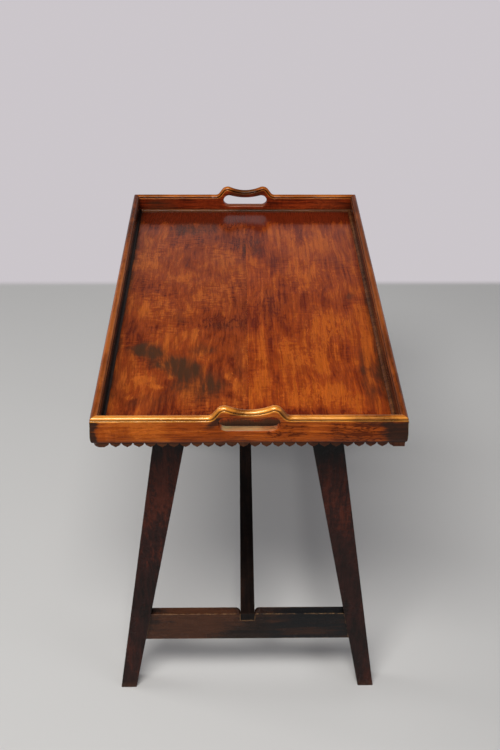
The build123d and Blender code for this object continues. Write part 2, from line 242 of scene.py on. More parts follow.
class GroupBench(NodeBench):
    """A bench for a shader group with named inputs and outputs."""

    def __init__(self, name: str, inputs: dict[str, float | Point]) -> None:
        """Start the group.

        Args:
            name: The group's name.
            inputs: Default value of each input, by name; a tuple makes a vector.
        """
        super().__init__(bpy.data.node_groups.new(name, "ShaderNodeTree"))
        for label, value in inputs.items():
            kind = "NodeSocketVector" if isinstance(value, tuple) else "NodeSocketFloat"
            socket = self.tree.interface.new_socket(name=label, in_out="INPUT", socket_type=kind)
            socket.default_value = value
        wires = self.add("NodeGroupInput")
        self.given = [wires[label] for label in inputs]

    def close(self, results: dict[str, Wire]) -> NodeTree:
        """End the group.

        Args:
            results: Its outputs, by name.

        Returns:
            The group.
        """
        for label in results:
            self.tree.interface.new_socket(name=label, in_out="OUTPUT", socket_type="NodeSocketFloat")
        self.add("NodeGroupOutput", results)
        return self.tree


class WorkshopGroups:
    """The shader groups that every wood of the piece shares."""

    def __init__(self) -> None:
        """Build each group once."""
        self.figure = self.wood_figure()
        self.age = self.age_marks()
        self.polish = self.hand_polish()

    @staticmethod
    def wood_figure() -> NodeTree:
        """Figure of sawn wood whose grain runs along X.

        Returns:
            A group that gives streaks, fine lines, open pores, cross ripple, clouds and flames.
        """
        sizes = {"Streak Length": 0.16, "Streak Width": 0.009, "Ripple Pitch": 0.006, "Cloud Size": 0.09}
        bench = GroupBench("wood_figure", {"Vector": ORIGIN, **sizes})
        start, length, width, pitch, size = bench.given
        wander = bench.add("ShaderNodeTexNoise", {"Vector": start, "Scale": 7.0, "Detail": 2.0})["Color"]
        bent = start + (wander - (0.5, 0.5, 0.5)) * (0.0, 0.02, 0.02)
        along = bent / bench.xyz(X=length, Y=width, Z=width)
        wide = pitch * 3.6
        bars = bent / bench.xyz(X=pitch, Y=wide, Z=wide)
        ripple = bench.remap(bench.noise(bars, 1.0, 3.0, 0.6), 0.36, 0.64)
        patch = bench.remap(bench.noise(start, 11.0, 2.0), 0.44, 0.62)
        drift = start / bench.xyz(X=size * 2.3, Y=size, Z=size)
        slant = {"Vector": start, "Rotation": (0.0, 0.0, 0.9), "Scale": (55.0, 150.0, 150.0)}
        slanted = bench.add("ShaderNodeMapping", slant)[0]
        results = {
            "Streaks": bench.remap(bench.noise(along, 1.0, 5.0, 0.62), 0.3, 0.7),
            "Lines": bench.remap(bench.noise(along, 3.4, 4.0, 0.7), 0.32, 0.68),
            "Pores": bench.remap(bench.noise(bent * (170.0, 2300.0, 2300.0), 1.0, 1.0), 0.6, 0.72),
            "Ripple": (ripple - 0.5) * patch + 0.5,
            "Clouds": bench.remap(bench.noise(drift, 1.0, 4.0, 0.6, 0.7), 0.34, 0.66),
            "Flames": bench.remap(bench.noise(slanted, 1.0, 3.0, 0.55, 1.6), 0.46, 0.68),
        }
        return bench.close(results)

    @staticmethod
    def age_marks() -> NodeTree:
        """Marks of long use and painted shade: rubbed arrises, dirt and painted shade in the corners, handled
        patches.

        Returns:
            A group that gives the masks of edge wear, of painted shade with some dirt in the corners, and of
            rubbing.
        """
        bench = GroupBench("age_marks", {"Vector": ORIGIN, "Edge Width": 0.0015, "Grime Reach": 0.02})
        start, width, reach = bench.given
        eased = bench.add("ShaderNodeBevel", {"Radius": width}, samples=4)["Normal"]
        flat = bench.add("ShaderNodeNewGeometry")["Normal"]
        corner = bench.remap(1.0 - bench.math("DOT_PRODUCT", eased, flat), 0.015, 0.16)
        # Ambient occlusion darkens corners and hollows: painted shade, with some dirt
        open_air = bench.add("ShaderNodeAmbientOcclusion", {"Distance": reach}, samples=8)["AO"]
        uneven = bench.remap(bench.noise(start, 60.0, 4.0, 0.6), 0.2, 0.75, (0.55, 1.25))
        results = {
            "Edge": corner * bench.remap(bench.noise(start, 85.0, 4.0, 0.65), 0.36, 0.6),
            "Grime": bench.remap(1.0 - open_air, 0.12, 0.75) * uneven,
            "Rub": bench.remap(bench.noise(start, 23.0, 5.0, 0.62), 0.44, 0.68),
        }
        return bench.close(results)

    @staticmethod
    def hand_polish() -> NodeTree:
        """Surface of an old hand polish: slow waves, sunk grain and fine crazing.

        Returns:
            A group that gives the height for a bump and the roughness.
        """
        looks = {"Pores": 0.0, "Lines": 0.0, "Rub": 0.0, "Smooth": 0.12, "Dull": 0.34, "Wave": 0.4}
        bench = GroupBench("hand_polish", {"Vector": ORIGIN, **looks, "Craze": 0.12})
        start, pores, lines, rub, smooth, dull, wave, craze = bench.given
        cells = {"Vector": start * (330.0, 210.0, 260.0), "Scale": 1.0}
        rim = bench.add("ShaderNodeTexVoronoi", cells, feature="DISTANCE_TO_EDGE")["Distance"]
        crack = bench.remap(rim, 0.0, 0.07, (1.0, 0.0))
        height = bench.noise(start, 16.0, 1.0) * wave + lines * 0.016 - pores * 0.05 - crack * (craze * 0.12)
        share = bench.noise(start, 210.0, 4.0, 0.6) * 0.35 + rub * 0.3 + pores * 0.25
        return bench.close({"Height": height, "Roughness": (dull - smooth) * share + smooth})


@dataclass(frozen=True)
class WoodFinish:
    """One stained and polished wood, as dark, middle and light tones of its figure."""

    name: str
    dark: Colour
    middle: Colour
    light: Colour
    rubbed: Colour
    offset: Point
    grain: Grain = Grain.ALONG_X
    streak_length: float = 0.16
    streak_width: float = 0.009
    ripple_pitch: float = 0.006
    cloud_size: float = 0.09
    streak_share: float = 0.5
    ripple_share: float = 0.2
    cloud_share: float = 0.3
    edge_share: float = 0.6
    edge_width: float = 0.0015
    grime_share: float = 0.75
    grime_reach: float = 0.02
    handled_share: float = 0.0
    smooth: float = 0.12
    dull: float = 0.36
    coat: float = 0.0
    specular: float = 0.4
    tint: Colour = (1.0, 1.0, 1.0)
    stain: Colour = (0.050, 0.022, 0.010)
    marked: bool = False

    # Tones between which the middle and the light colour come in, and what fine lines do to them
    middle_tones: ClassVar[Flat] = (0.12, 0.52)
    light_tones: ClassVar[Flat] = (0.48, 0.88)
    line_shade: ClassVar[Flat] = (0.78, 1.12)
    pore_share: ClassVar[float] = 0.55

    # How far a glow lifts the flames and the rest, how far stains, painted shade and rubbing cover the
    # figure, and what a glow, in part painted highlight, does to the rubbing and to the coat
    flame_lift: ClassVar[float] = 0.75
    even_lift: ClassVar[float] = 0.32
    stain_cover: ClassVar[Flat] = (0.0, 0.93)
    rub_cover: ClassVar[Flat] = (0.6, 1.0)
    glow_rub: ClassVar[Flat] = (0.2, 1.25)
    glow_coat: ClassVar[Flat] = (0.2, 1.0)

    def darker(self, share: float) -> Colour:
        """A share of the dark tone, for pores, dirt and painted shade."""
        return tuple(share * part for part in self.dark)

    def material(self, groups: WorkshopGroups) -> Material:
        """Build the finish as a material.

        Args:
            groups: The shared shader groups.

        Returns:
            The new material.
        """
        made = bpy.data.materials.new(self.name)
        bench = NodeBench.on(made)
        place = bench.add("ShaderNodeTexCoord")["Object"]
        turn = {"Vector": place, "Location": self.offset, "Rotation": self.grain.value}
        turned = bench.add("ShaderNodeMapping", turn)["Vector"]
        sizes = {
            "Vector": turned,
            "Streak Length": self.streak_length,
            "Streak Width": self.streak_width,
            "Ripple Pitch": self.ripple_pitch,
            "Cloud Size": self.cloud_size,
        }
        figure = bench.add("ShaderNodeGroup", sizes, node_tree=groups.figure)
        wear = {"Vector": place, "Grime Reach": self.grime_reach, "Edge Width": self.edge_width}
        age = bench.add("ShaderNodeGroup", wear, node_tree=groups.age)
        looks = {
            "Vector": turned,
            "Pores": figure["Pores"],
            "Lines": figure["Lines"],
            "Rub": age["Rub"],
            "Smooth": self.smooth,
            "Dull": self.dull,
        }
        polish = bench.add("ShaderNodeGroup", looks, node_tree=groups.polish)
        bump = bench.add("ShaderNodeBump", {"Height": polish["Height"], "Strength": 1.0, "Distance": MM})
        coat = self.coat
        if self.handled_share:
            polished = bench.remap(bench.read("glow"), -0.2, 0.9, self.glow_coat)
            coat = bench.read("handled") * polished * self.coat
        sockets = {
            "Base Color": self.aged(bench, self.figured(bench, figure), age, figure),
            "Roughness": polish["Roughness"],
            "Normal": bump["Normal"],
            "Coat Weight": coat,
            "Coat Roughness": 0.2,
            "IOR": 1.5,
            "Specular IOR Level": self.specular,
            "Specular Tint": (*self.tint, 1.0),
        }
        shader = bench.add("ShaderNodeBsdfPrincipled", sockets)
        bench.add("ShaderNodeOutputMaterial", {"Surface": shader["BSDF"]})
        return made

    def figured(self, bench: NodeBench, figure: Wires) -> Wire:
        """Colour of the wood's figure before any wear.

        Args:
            bench: Bench on the material's tree.
            figure: Outputs of the figure group.

        Returns:
            The colour.
        """
        tone = figure["Streaks"] * self.streak_share + figure["Ripple"] * self.ripple_share
        tone = tone + figure["Clouds"] * self.cloud_share
        tone = tone / (self.streak_share + self.ripple_share + self.cloud_share)
        if self.marked:
            # Glows vary the tone; on the crests, faces, floor and legs some are painted highlight and painted
            # shade
            tone = tone + bench.read("glow") * (figure["Flames"] * self.flame_lift + self.even_lift)
        colour = bench.blend(bench.remap(tone, *self.middle_tones), self.dark, self.middle)
        colour = bench.blend(bench.remap(tone, *self.light_tones), colour, self.light)
        colour = bench.shaded(colour, bench.remap(figure["Lines"], 0.0, 1.0, self.line_shade))
        return bench.blend(figure["Pores"] * self.pore_share, colour, self.darker(0.35))

    def aged(self, bench: NodeBench, colour: Wire, age: Wires, figure: Wires) -> Wire:
        """Colour with its stains and painted shade, rubbed arrises, handled parts with painted highlight, and
        dirt.

        Args:
            bench: Bench on the material's tree.
            colour: The colour of the figure.
            age: Outputs of the age group.
            figure: Outputs of the figure group, which breaks up the stains.

        Returns:
            The colour.
        """
        # Stains, and painted shade and shadow where the marks stand for it
        if self.marked:
            broken = 1.35 - figure["Streaks"] * 0.5 - figure["Clouds"] * 0.5
            share = bench.remap(bench.read("stain") * broken, 0.0, 1.0, self.stain_cover)
            colour = bench.blend(share, colour, self.stain)
        if self.edge_share:
            colour = bench.blend(age["Edge"] * self.edge_share, colour, self.rubbed)
        # Handled parts rubbed lighter; on the crests and the hand-hole lips this is also painted highlight
        if self.handled_share:
            share = bench.read("handled") * self.handled_share
            share = share * bench.remap(age["Rub"], 0.0, 1.0, self.rub_cover)
            share = share * bench.remap(bench.read("glow"), -1.0, 1.0, self.glow_rub)
            colour = bench.blend(share, colour, self.rubbed)
            # Dirt and painted shade in the quirks, and darker along the board's foot
            colour = bench.blend(bench.read("soiled"), colour, self.darker(0.2))
        # Painted shade in corners and hollows, with some dirt, from ambient occlusion
        return bench.blend(age["Grime"] * self.grime_share, colour, self.darker(0.12))


class Finishes:
    """Every finish of the tray and its stand, each built once."""

    def __init__(self) -> None:
        """Build the shared groups and the materials."""
        self.groups = WorkshopGroups()
        flat = dict(grain=Grain.ALONG_Y, edge_share=0.0, grime_reach=0.03, cloud_share=0.36, marked=True)
        flat |= dict(smooth=0.09, dull=0.24, specular=0.5, tint=(1.0, 0.92, 0.84))
        board = dict(streak_width=0.004, edge_share=0.5, marked=True)
        crest = dict(streak_width=0.004, edge_share=0.0, grime_share=0.5, grime_reach=0.004, marked=True)
        satin = dict(smooth=0.2, dull=0.42, marked=True)
        self.floor_left = self.made(
            "floor_mahogany_left", (0.100, 0.013, 0.004), (0.238, 0.040, 0.007), (0.40, 0.090, 0.012),
            (0.42, 0.13, 0.035), (3.0, 0.41, 0.0), streak_share=0.32, ripple_share=0.28,
            cloud_size=0.042, streak_length=0.085, ripple_pitch=0.0045, **flat,
        )
        self.floor_right = self.made(
            "floor_mahogany_right", (0.125, 0.015, 0.004), (0.265, 0.042, 0.006), (0.42, 0.087, 0.009),
            (0.42, 0.13, 0.035), (7.3, 1.17, 0.0), streak_share=0.42, ripple_share=0.16,
            cloud_size=0.045, streak_length=0.2, streak_width=0.008, **flat,
        )
        self.front_end = self.made(
            "front_end_mahogany", (0.12, 0.020, 0.003), (0.36, 0.066, 0.006), (0.56, 0.130, 0.013),
            (0.38, 0.33, 0.16), (0.7, 2.1, 0.0), handled_share=0.9, grime_reach=0.006,
            specular=0.1, coat=0.7, stain=(0.022, 0.012, 0.008), **board,
        )
        self.rear_end = self.made(
            "rear_end_mahogany", (0.075, 0.009, 0.003), (0.19, 0.022, 0.005), (0.34, 0.046, 0.009),
            (0.30, 0.12, 0.045), (1.9, 0.3, 0.0), handled_share=0.7, specular=0.12, coat=0.5, **board,
        )
        # Tones kept dark as painted shade; its stain colour is the painted shade down the inner faces
        self.side_gallery = self.made(
            "side_mahogany", (0.045, 0.010, 0.004), (0.11, 0.025, 0.007), (0.22, 0.055, 0.012),
            (0.42, 0.15, 0.045), (4.2, 0.9, 0.0), grain=Grain.ALONG_Y, handled_share=0.75,
            specular=0.1, coat=0.5, stain=(0.016, 0.012, 0.010), **board,
        )
        # The crests' rubbed colours are wear and also the painted golden highlight along the nosings
        self.front_crest = self.made(
            "front_crest_mahogany", (0.13, 0.028, 0.005), (0.32, 0.085, 0.012), (0.50, 0.165, 0.025),
            (0.96, 0.36, 0.032), (0.7, 2.1, 0.0), handled_share=0.85, specular=0.8,
            tint=(1.0, 0.64, 0.2), smooth=0.24, dull=0.44, coat=1.0, **crest,
        )
        self.rear_crest = self.made(
            "rear_crest_mahogany", (0.08, 0.012, 0.002), (0.21, 0.040, 0.005), (0.36, 0.088, 0.011),
            (0.66, 0.21, 0.028), (1.9, 0.3, 0.0), handled_share=0.7, specular=0.0, coat=1.0, **crest,
        )
        self.side_crest = self.made(
            "side_crest_mahogany", (0.055, 0.010, 0.003), (0.155, 0.031, 0.006), (0.28, 0.070, 0.012),
            (0.46, 0.14, 0.028), (4.2, 0.9, 0.0), grain=Grain.ALONG_Y, handled_share=0.65,
            specular=0.08, coat=0.25, **crest,
        )
        self.bead = self.made(
            "bead_mahogany", (0.04, 0.014, 0.006), (0.09, 0.028, 0.010), (0.16, 0.055, 0.018),
            (0.30, 0.15, 0.06), (2.6, 1.4, 0.0), grime_share=0.5, grime_reach=0.006, specular=0.12,
        )
        self.apron = self.made(
            "apron_mahogany", (0.04, 0.010, 0.005), (0.082, 0.026, 0.010), (0.15, 0.048, 0.015),
            (0.20, 0.075, 0.03), (5.1, 0.2, 0.0), grime_reach=0.008, edge_share=0.35,
            smooth=0.3, dull=0.5, specular=0.1,
        )
        # Tones kept dark as painted shade, for legs in the tray's shadow; its stain colour paints that shadow
        # on the tops of the front legs
        self.leg = self.made(
            "leg_mahogany", (0.010, 0.006, 0.005), (0.029, 0.010, 0.008), (0.078, 0.018, 0.010),
            (0.22, 0.10, 0.045), (0.2, 3.1, 0.0), grain=Grain.UPRIGHT, cloud_size=0.13, cloud_share=0.6,
            edge_share=0.4, handled_share=0.4, stain=(0.008, 0.008, 0.008), specular=0.14, **satin,
        )
        self.rail = self.made(
            "rail_mahogany", (0.010, 0.006, 0.005), (0.026, 0.014, 0.010), (0.075, 0.028, 0.014),
            (0.50, 0.27, 0.11), (6.4, 0.8, 0.0), cloud_share=0.5, edge_share=0.9, edge_width=0.003,
            stain=(0.008, 0.009, 0.010), specular=0.15, **satin,
        )
        # Near black as painted shade: for the medial stretcher and side top rails under the tray, and for the
        # left foot bead in its wall's shadow
        self.long_rail = self.made(
            "long_rail_mahogany", (0.004, 0.003, 0.003), (0.009, 0.006, 0.005), (0.026, 0.012, 0.008),
            (0.16, 0.09, 0.05), (1.1, 5.8, 0.0), grain=Grain.ALONG_Y, edge_share=0.2,
            smooth=0.25, dull=0.5, specular=0.1,
        )

    def made(self, name: str, *tones: Colour, **looks: object) -> Material:
        """Build one finish from its four tones, its offset and its other looks."""
        log.info("finish %s", name)
        return WoodFinish(name, *tones, **looks).material(self.groups)


class GeometryBench(NodeBench):
    """A bench for a Geometry Nodes tree with named inputs."""

    def __init__(self, name: str, inputs: dict[str, str]) -> None:
        """Start the tree.

        Args:
            name: The tree's name.
            inputs: Kind of each input, by name.
        """
        super().__init__(bpy.data.node_groups.new(name, "GeometryNodeTree"))
        self.tree.interface.new_socket(name="Geometry", in_out="OUTPUT", socket_type="NodeSocketGeometry")
        for label, kind in {**inputs, "Finish": "Material"}.items():
            self.tree.interface.new_socket(name=label, in_out="INPUT", socket_type=f"NodeSocket{kind}")
        self.given = self.add("NodeGroupInput")

    def mitred(self, geometry: Wire, limit: Wire, across: str, way: float) -> Wire:
        """Slide the points past a limit along X, by their place across, for a mitre at both ends.

        Args:
            geometry: The run, which lies along X.
            limit: Distance from its middle where the mitres start.
            across: The axis across the run.
            way: 1 or -1, for the way that the mitres open.

        Returns:
            The mitred run.
        """
        place = self.add("GeometryNodeInputPosition")[0]
        parts = self.add("ShaderNodeSeparateXYZ", {"Vector": place})
        offset = self.xyz(X=self.math("SIGN", parts["X"]) * parts[across] * way)
        beyond = self.math("GREATER_THAN", self.math("ABSOLUTE", parts["X"]), limit)
        sockets = {"Geometry": geometry, "Selection": beyond, "Offset": offset}
        return self.add("GeometryNodeSetPosition", sockets)[0]

    def close(self, geometry: Wire) -> None:
        """End the tree with realised instances and the finish.

        Args:
            geometry: The last geometry.
        """
        real = self.add("GeometryNodeRealizeInstances", {"Geometry": geometry})[0]
        sockets = {"Geometry": real, "Material": self.given["Finish"]}
        self.add("NodeGroupOutput", {"Geometry": self.add("GeometryNodeSetMaterial", sockets)[0]})

    def run(self, name: str, values: dict[str, object]) -> Mesh:
        """Evaluate the tree once.

        Args:
            name: Name of the new mesh.
            values: Value of each input, by name.

        Returns:
            The result as a plain mesh.
        """
        empty = bpy.data.meshes.new(name)
        holder = linked(name, empty)
        modifier = holder.modifiers.new(name, "NODES")
        modifier.node_group = self.tree
        for item in self.tree.interface.items_tree:
            if item.in_out == "INPUT":
                modifier[item.identifier] = values[item.name]
        graph = bpy.context.evaluated_depsgraph_get()
        shown = holder.evaluated_get(graph)
        made = bpy.data.meshes.new_from_object(shown, preserve_all_data_layers=True, depsgraph=graph)
        holder.modifiers.clear()
        bpy.data.objects.remove(holder)
        bpy.data.meshes.remove(empty)
        return made


def linked(name: str, data: ID) -> Object:
    """New object of some data, linked to the scene.

    Args:
        name: The object's name.
        data: Its mesh, curve, light or camera.

    Returns:
        The object.
    """
    piece = bpy.data.objects.new(name, data)
    bpy.context.scene.collection.objects.link(piece)
    return piece


def spline_object(name: str, points: Sequence[Point], closed: bool) -> Object:
    """Curve object of one run of straight steps.

    Args:
        name: The object's name.
        points: The points that it passes.
        closed: Whether it returns to its start.

    Returns:
        The object.
    """
    curve = bpy.data.curves.new(name, "CURVE")
    curve.dimensions = "3D"
    line = curve.splines.new("POLY")
    line.points.add(len(points) - 1)
    for point, place in zip(line.points, points):
        point.co = (*place, 1.0)
    line.use_cyclic_u = closed
    return linked(name, curve)


class MouldingSweep(GeometryBench):
    """Sweeps a section of across and drop along a path, and mitres both ends at 45 degrees."""

    def __init__(self) -> None:
        """Build the tree."""
        kinds = {"Path": "Object", "Section": "Object", "Capped": "Bool", "Mitre From": "Float"}
        super().__init__("moulding_sweep", kinds)
        path, section = (
            self.add("GeometryNodeObjectInfo", {"Object": self.given[name]})["Geometry"]
            for name in ("Path", "Section")
        )
        level = self.add("GeometryNodeSetCurveNormal", {"Curve": path}, mode="Z_UP")[0]
        sockets = {"Curve": level, "Profile Curve": section, "Fill Caps": self.given["Capped"]}
        swept = self.add("GeometryNodeCurveToMesh", sockets)[0]
        self.close(self.mitred(swept, self.given["Mitre From"], "Y", -1.0))

    def sweep(
        self, name: str, path: Sequence[Flat], section: Sequence[Flat], solid: bool, finish: Material
    ) -> Mesh:
        """Sweep one section along one path.

        Args:
            name: Name of the new mesh.
            path: Along and height of the path's points, from left to right.
            section: Across and drop of the section's points.
            solid: Whether the section is closed and its ends are filled.
            finish: The material.

        Returns:
            The mesh, in the path's units.
        """
        route = spline_object("route", [(along, 0.0, height) for along, height in path], False)
        outline = spline_object("outline", [(*point, 0.0) for point in section], solid)
        values = {"Path": route, "Section": outline, "Capped": solid, "Finish": finish}
        made = self.run(name, {**values, "Mitre From": path[-1][0] - HAIR})
        for curve in (route.data, outline.data):
            bpy.data.curves.remove(curve)
        return made


class PinkedStrip(GeometryBench):
    """A strip whose lower edge is pinked into pointed teeth between two plain blocks."""

    def __init__(self) -> None:
        """Build the tree. Its points run from the upper left corner, down and along the teeth."""
        sizes = ("Half Length", "Pitch", "Hang", "Web", "Knee Along", "Knee Down", "Thickness")
        kinds = {label: "Float" for label in (*sizes, "Outer Across", "Top Drop")}
        super().__init__("pinked_strip", {"Teeth": "Int", **kinds})
        teeth = self.given["Teeth"]
        half_length, pitch, hang, web, knee_along, knee_down, thickness = (self.given[s] for s in sizes)
        # Four points a tooth: knee, notch, knee and tip. Nine more end the row and turn its corners.
        last = teeth * 4.0 + 8.0
        index = self.add("GeometryNodeInputIndex")[0]
        turn = index - 3.0
        tooth = self.math("FLOOR", turn / 4.0)
        step = turn - tooth * 4.0
        tip = self.math("GREATER_THAN", step, 2.5)
        notch = self.math("COMPARE", step, 1.0, 0.1)
        shift = tip * 0.5 + (step - 1.0) * knee_along * (1.0 - tip)
        along = (tooth + shift - teeth * 0.5) * pitch
        knee_drop = knee_down * (hang - web) + web
        drop = knee_drop - notch * (knee_drop - web) + tip * (hang - knee_drop)
        from_end = self.math("MINIMUM", index, last - index)
        at_end = self.math("LESS_THAN", from_end, 1.5)
        reach = self.math("SIGN", index - last * 0.5) * half_length
        end_drop = (1.0 - self.math("LESS_THAN", from_end, 0.5)) * hang
        along = at_end * (reach - along) + along
        drop = at_end * (end_drop - drop) + drop
        line = self.add("GeometryNodeMeshLine", {"Count": last + 1.0})[0]
        sockets = {"Geometry": line, "Position": self.xyz(X=along, Y=drop * -1.0)}
        line = self.add("GeometryNodeSetPosition", sockets)[0]
        curve = self.add("GeometryNodeMeshToCurve", {"Mesh": line})[0]
        curve = self.add("GeometryNodeSetSplineCyclic", {"Geometry": curve, "Cyclic": True})[0]
        face = self.add("GeometryNodeFillCurve", {"Curve": curve})[0]
        sockets = {"Mesh": face, "Offset": (0.0, 0.0, 1.0), "Offset Scale": thickness, "Individual": False}
        raised = self.add("GeometryNodeExtrudeMesh", sockets)["Mesh"]
        back = self.add("GeometryNodeFlipFaces", {"Mesh": face})[0]
        joined = self.add("GeometryNodeJoinGeometry", {"Geometry": [raised, back]})[0]
        whole = self.add("GeometryNodeMergeByDistance", {"Geometry": joined, "Distance": TOUCH})[0]
        mitred = self.mitred(whole, half_length - HAIR, "Z", 1.0)
        lift = self.xyz(Y=thickness - self.given["Outer Across"], Z=self.given["Top Drop"] * -1.0)
        sockets = {"Geometry": mitred, "Translation": lift, "Rotation": (math.radians(90), 0.0, 0.0)}
        self.close(self.add("GeometryNodeTransform", sockets)[0])


def arc(centre: Flat, radius: float, start: float, end: float, steps: int) -> list[Flat]:
    """Points along an arc from one angle to another in equal steps, both ends among them."""
    turns = [start + (end - start) * step / steps for step in range(steps + 1)]
    return [(centre[0] + radius * math.cos(t), centre[1] + radius * math.sin(t)) for t in turns]


def smooth_step(value: float) -> float:
    """Value from 0 to 1 eased at both ends."""
    share = min(1.0, max(0.0, value))
    return share * share * (3 - 2 * share)


@contextmanager
def opened(mesh: Mesh) -> Iterator[BMesh]:
    """Open a mesh for shaping, then turn its faces outwards and write it back.

    Args:
        mesh: The mesh.

    Yields:
        The mesh in editable form.
    """
    shaped = bmesh.new()
    shaped.from_mesh(mesh)
    yield shaped
    bmesh.ops.recalc_face_normals(shaped, faces=shaped.faces)
    shaped.to_mesh(mesh)
    shaped.free()


def open_edges(shaped: BMesh) -> int:
    """Number of edges with one face."""
    return sum(edge.is_boundary for edge in shaped.edges)


def finish_piece(name: str, mesh: Mesh, place: Matrix, body: str, node: str) -> None:
    """Place a mesh drawn in millimetres, smooth it and hand it to the frame.

    Args:
        name: The piece's name.
        mesh: Its mesh.
        place: Matrix from the mesh's space to the frame's, in metres.
        body: The body that it rides on.
        node: The CAD node that it stands for.
    """
    mesh.transform(place @ Matrix.Scale(MM, 4))
    mesh.name = name
    mesh.shade_smooth()
    mesh.set_sharp_from_angle(angle=SHARP_ANGLE)
    piece = linked(name, mesh)
    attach(piece, body)
    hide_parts(node)
    log.info("built %s with %d faces", name, len(mesh.polygons))


@dataclass(frozen=True)
class Mark:
    """A stain, a bright patch of the figure, a painted shade or a painted highlight, as an ellipse on one
    face, in millimetres.
    """

    along: float
    across: float
    reach_along: float
    reach_across: float
    strength: float

    def at(self, along: float, across: float) -> float:
        """Amount of the mark at a place, from 0 at its rim to its strength in the middle."""
        gap = ((along - self.along) / self.reach_along, (across - self.across) / self.reach_across)
        return self.strength * (1 - smooth_step((math.hypot(*gap) - MARK_CORE) / MARK_FADE))


Marks = tuple[Mark, ...]


def marks(*rows: Row) -> Marks:
    """Marks of rows of along, across, both reaches and strength."""
    return tuple(Mark(*row) for row in rows)


def mark_vertices(shaped: BMesh, flat: Callable[[Vector], Flat], **sets: Marks) -> None:
    """Write the amount of each set of marks on every vertex.

    Args:
        shaped: The mesh.
        flat: Gives a place's two coordinates on the face.
        sets: The marks, by the attribute's name.
    """
    for name, spots in sets.items():
        layer = shaped.verts.layers.float.new(name)
        for vert in shaped.verts:
            place = flat(vert.co + noise.noise_vector(vert.co / MARK_WAVE) * MARK_SWING)
            vert[layer] = min(MARK_LIMIT, sum(mark.at(*place) for mark in spots))


@dataclass(frozen=True)
class TraySizes:
    """Outer sizes of the tray read from the frame, and those of its boards, in millimetres."""

    half_width: float
    half_length: float
    crest: float
    floor: float
    underside: float
    thickness: float = 13.0
    height: float = 48.5
    belly: float = 1.8

    @classmethod
    def from_frame(cls) -> "TraySizes":
        """Read the sizes, less the swell of the boards past the corners of the mitre.

        Returns:
            The sizes.
        """
        side_low, side_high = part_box("left_side_board")
        floor_low, floor_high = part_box("left_floor_board")
        reach = (-side_low.x / MM - cls.belly, -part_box("front_end_board")[0].y / MM - cls.belly)
        return cls(*reach, side_high.z / MM, floor_high.z / MM, floor_low.z / MM)

    @property
    def half_board(self) -> float:
        """Half the thickness of a gallery board."""
        return self.thickness / 2

    def half_run(self, side: Side) -> float:
        """Half the length of a side."""
        return self.half_width if side.is_end else self.half_length

    def seat(self, side: Side) -> Matrix:
        """Place of a run that is drawn along X, with its crest at height 0.

        Args:
            side: The side that it goes to.

        Returns:
            The matrix to the frame's space, in metres.
        """
        reach = (self.half_length if side.is_end else self.half_width) - self.half_board
        turned = Matrix.Rotation(math.radians(90 * side.value), 4, "Z")
        placed = turned @ Matrix.Translation((0, -reach * MM, 0))
        return Matrix.Translation((0, 0, self.crest * MM)) @ placed


@dataclass
class CrestLine:
    """The serpentine crest of an end board, from its middle, in millimetres."""

    rise: float = 19.5
    dip: float = 11.0
    peak_reach: float = 38.5
    foot_reach: float = 65.0
    peak_radius: float = 15.0
    foot_radius: float = 9.5
    run_step: float = 6.0
    dip_steps: int = 9
    peak_steps: int = 16
    foot_steps: int = 11

    def straight(self, half_run: float) -> list[Flat]:
        """Points of a plain crest from end to end."""
        count = round(2 * half_run / self.run_step)
        return [(half_run * (2 * step / count - 1), 0.0) for step in range(count + 1)]

    def serpentine(self, half_run: float) -> list[Flat]:
        """Points of a crest with the handle in its middle.

        Args:
            half_run: Half the length of the path.

        Returns:
            Along and height of the points, from left to right.
        """
        fall = self.rise - self.dip
        dip_radius = (self.peak_reach**2 + fall**2) / (2 * fall) - self.peak_radius
        dip_centre = (0.0, self.dip + dip_radius)
        peak_centre = (self.peak_reach, self.rise - self.peak_radius)
        foot_centre = (self.foot_reach, self.foot_radius)
        towards = math.atan2(peak_centre[1] - dip_centre[1], peak_centre[0])
        gap = (foot_centre[0] - peak_centre[0], foot_centre[1] - peak_centre[1])
        radii = self.peak_radius + self.foot_radius
        flank = math.pi / 2 - (math.asin(radii / math.hypot(*gap)) - math.atan2(gap[1], gap[0]))
        half = arc(dip_centre, dip_radius, -math.pi / 2, towards, self.dip_steps)
        half += arc(peak_centre, self.peak_radius, towards + math.pi, flank, self.peak_steps)[1:]
        half += arc(foot_centre, self.foot_radius, flank + math.pi, 1.5 * math.pi, self.foot_steps)
        run = half_run - self.foot_reach
        count = round(run / self.run_step)
        half += [(self.foot_reach + run * step / count, 0.0) for step in range(1, count + 1)]
        return [(-along, height) for along, height in reversed(half[1:])] + half


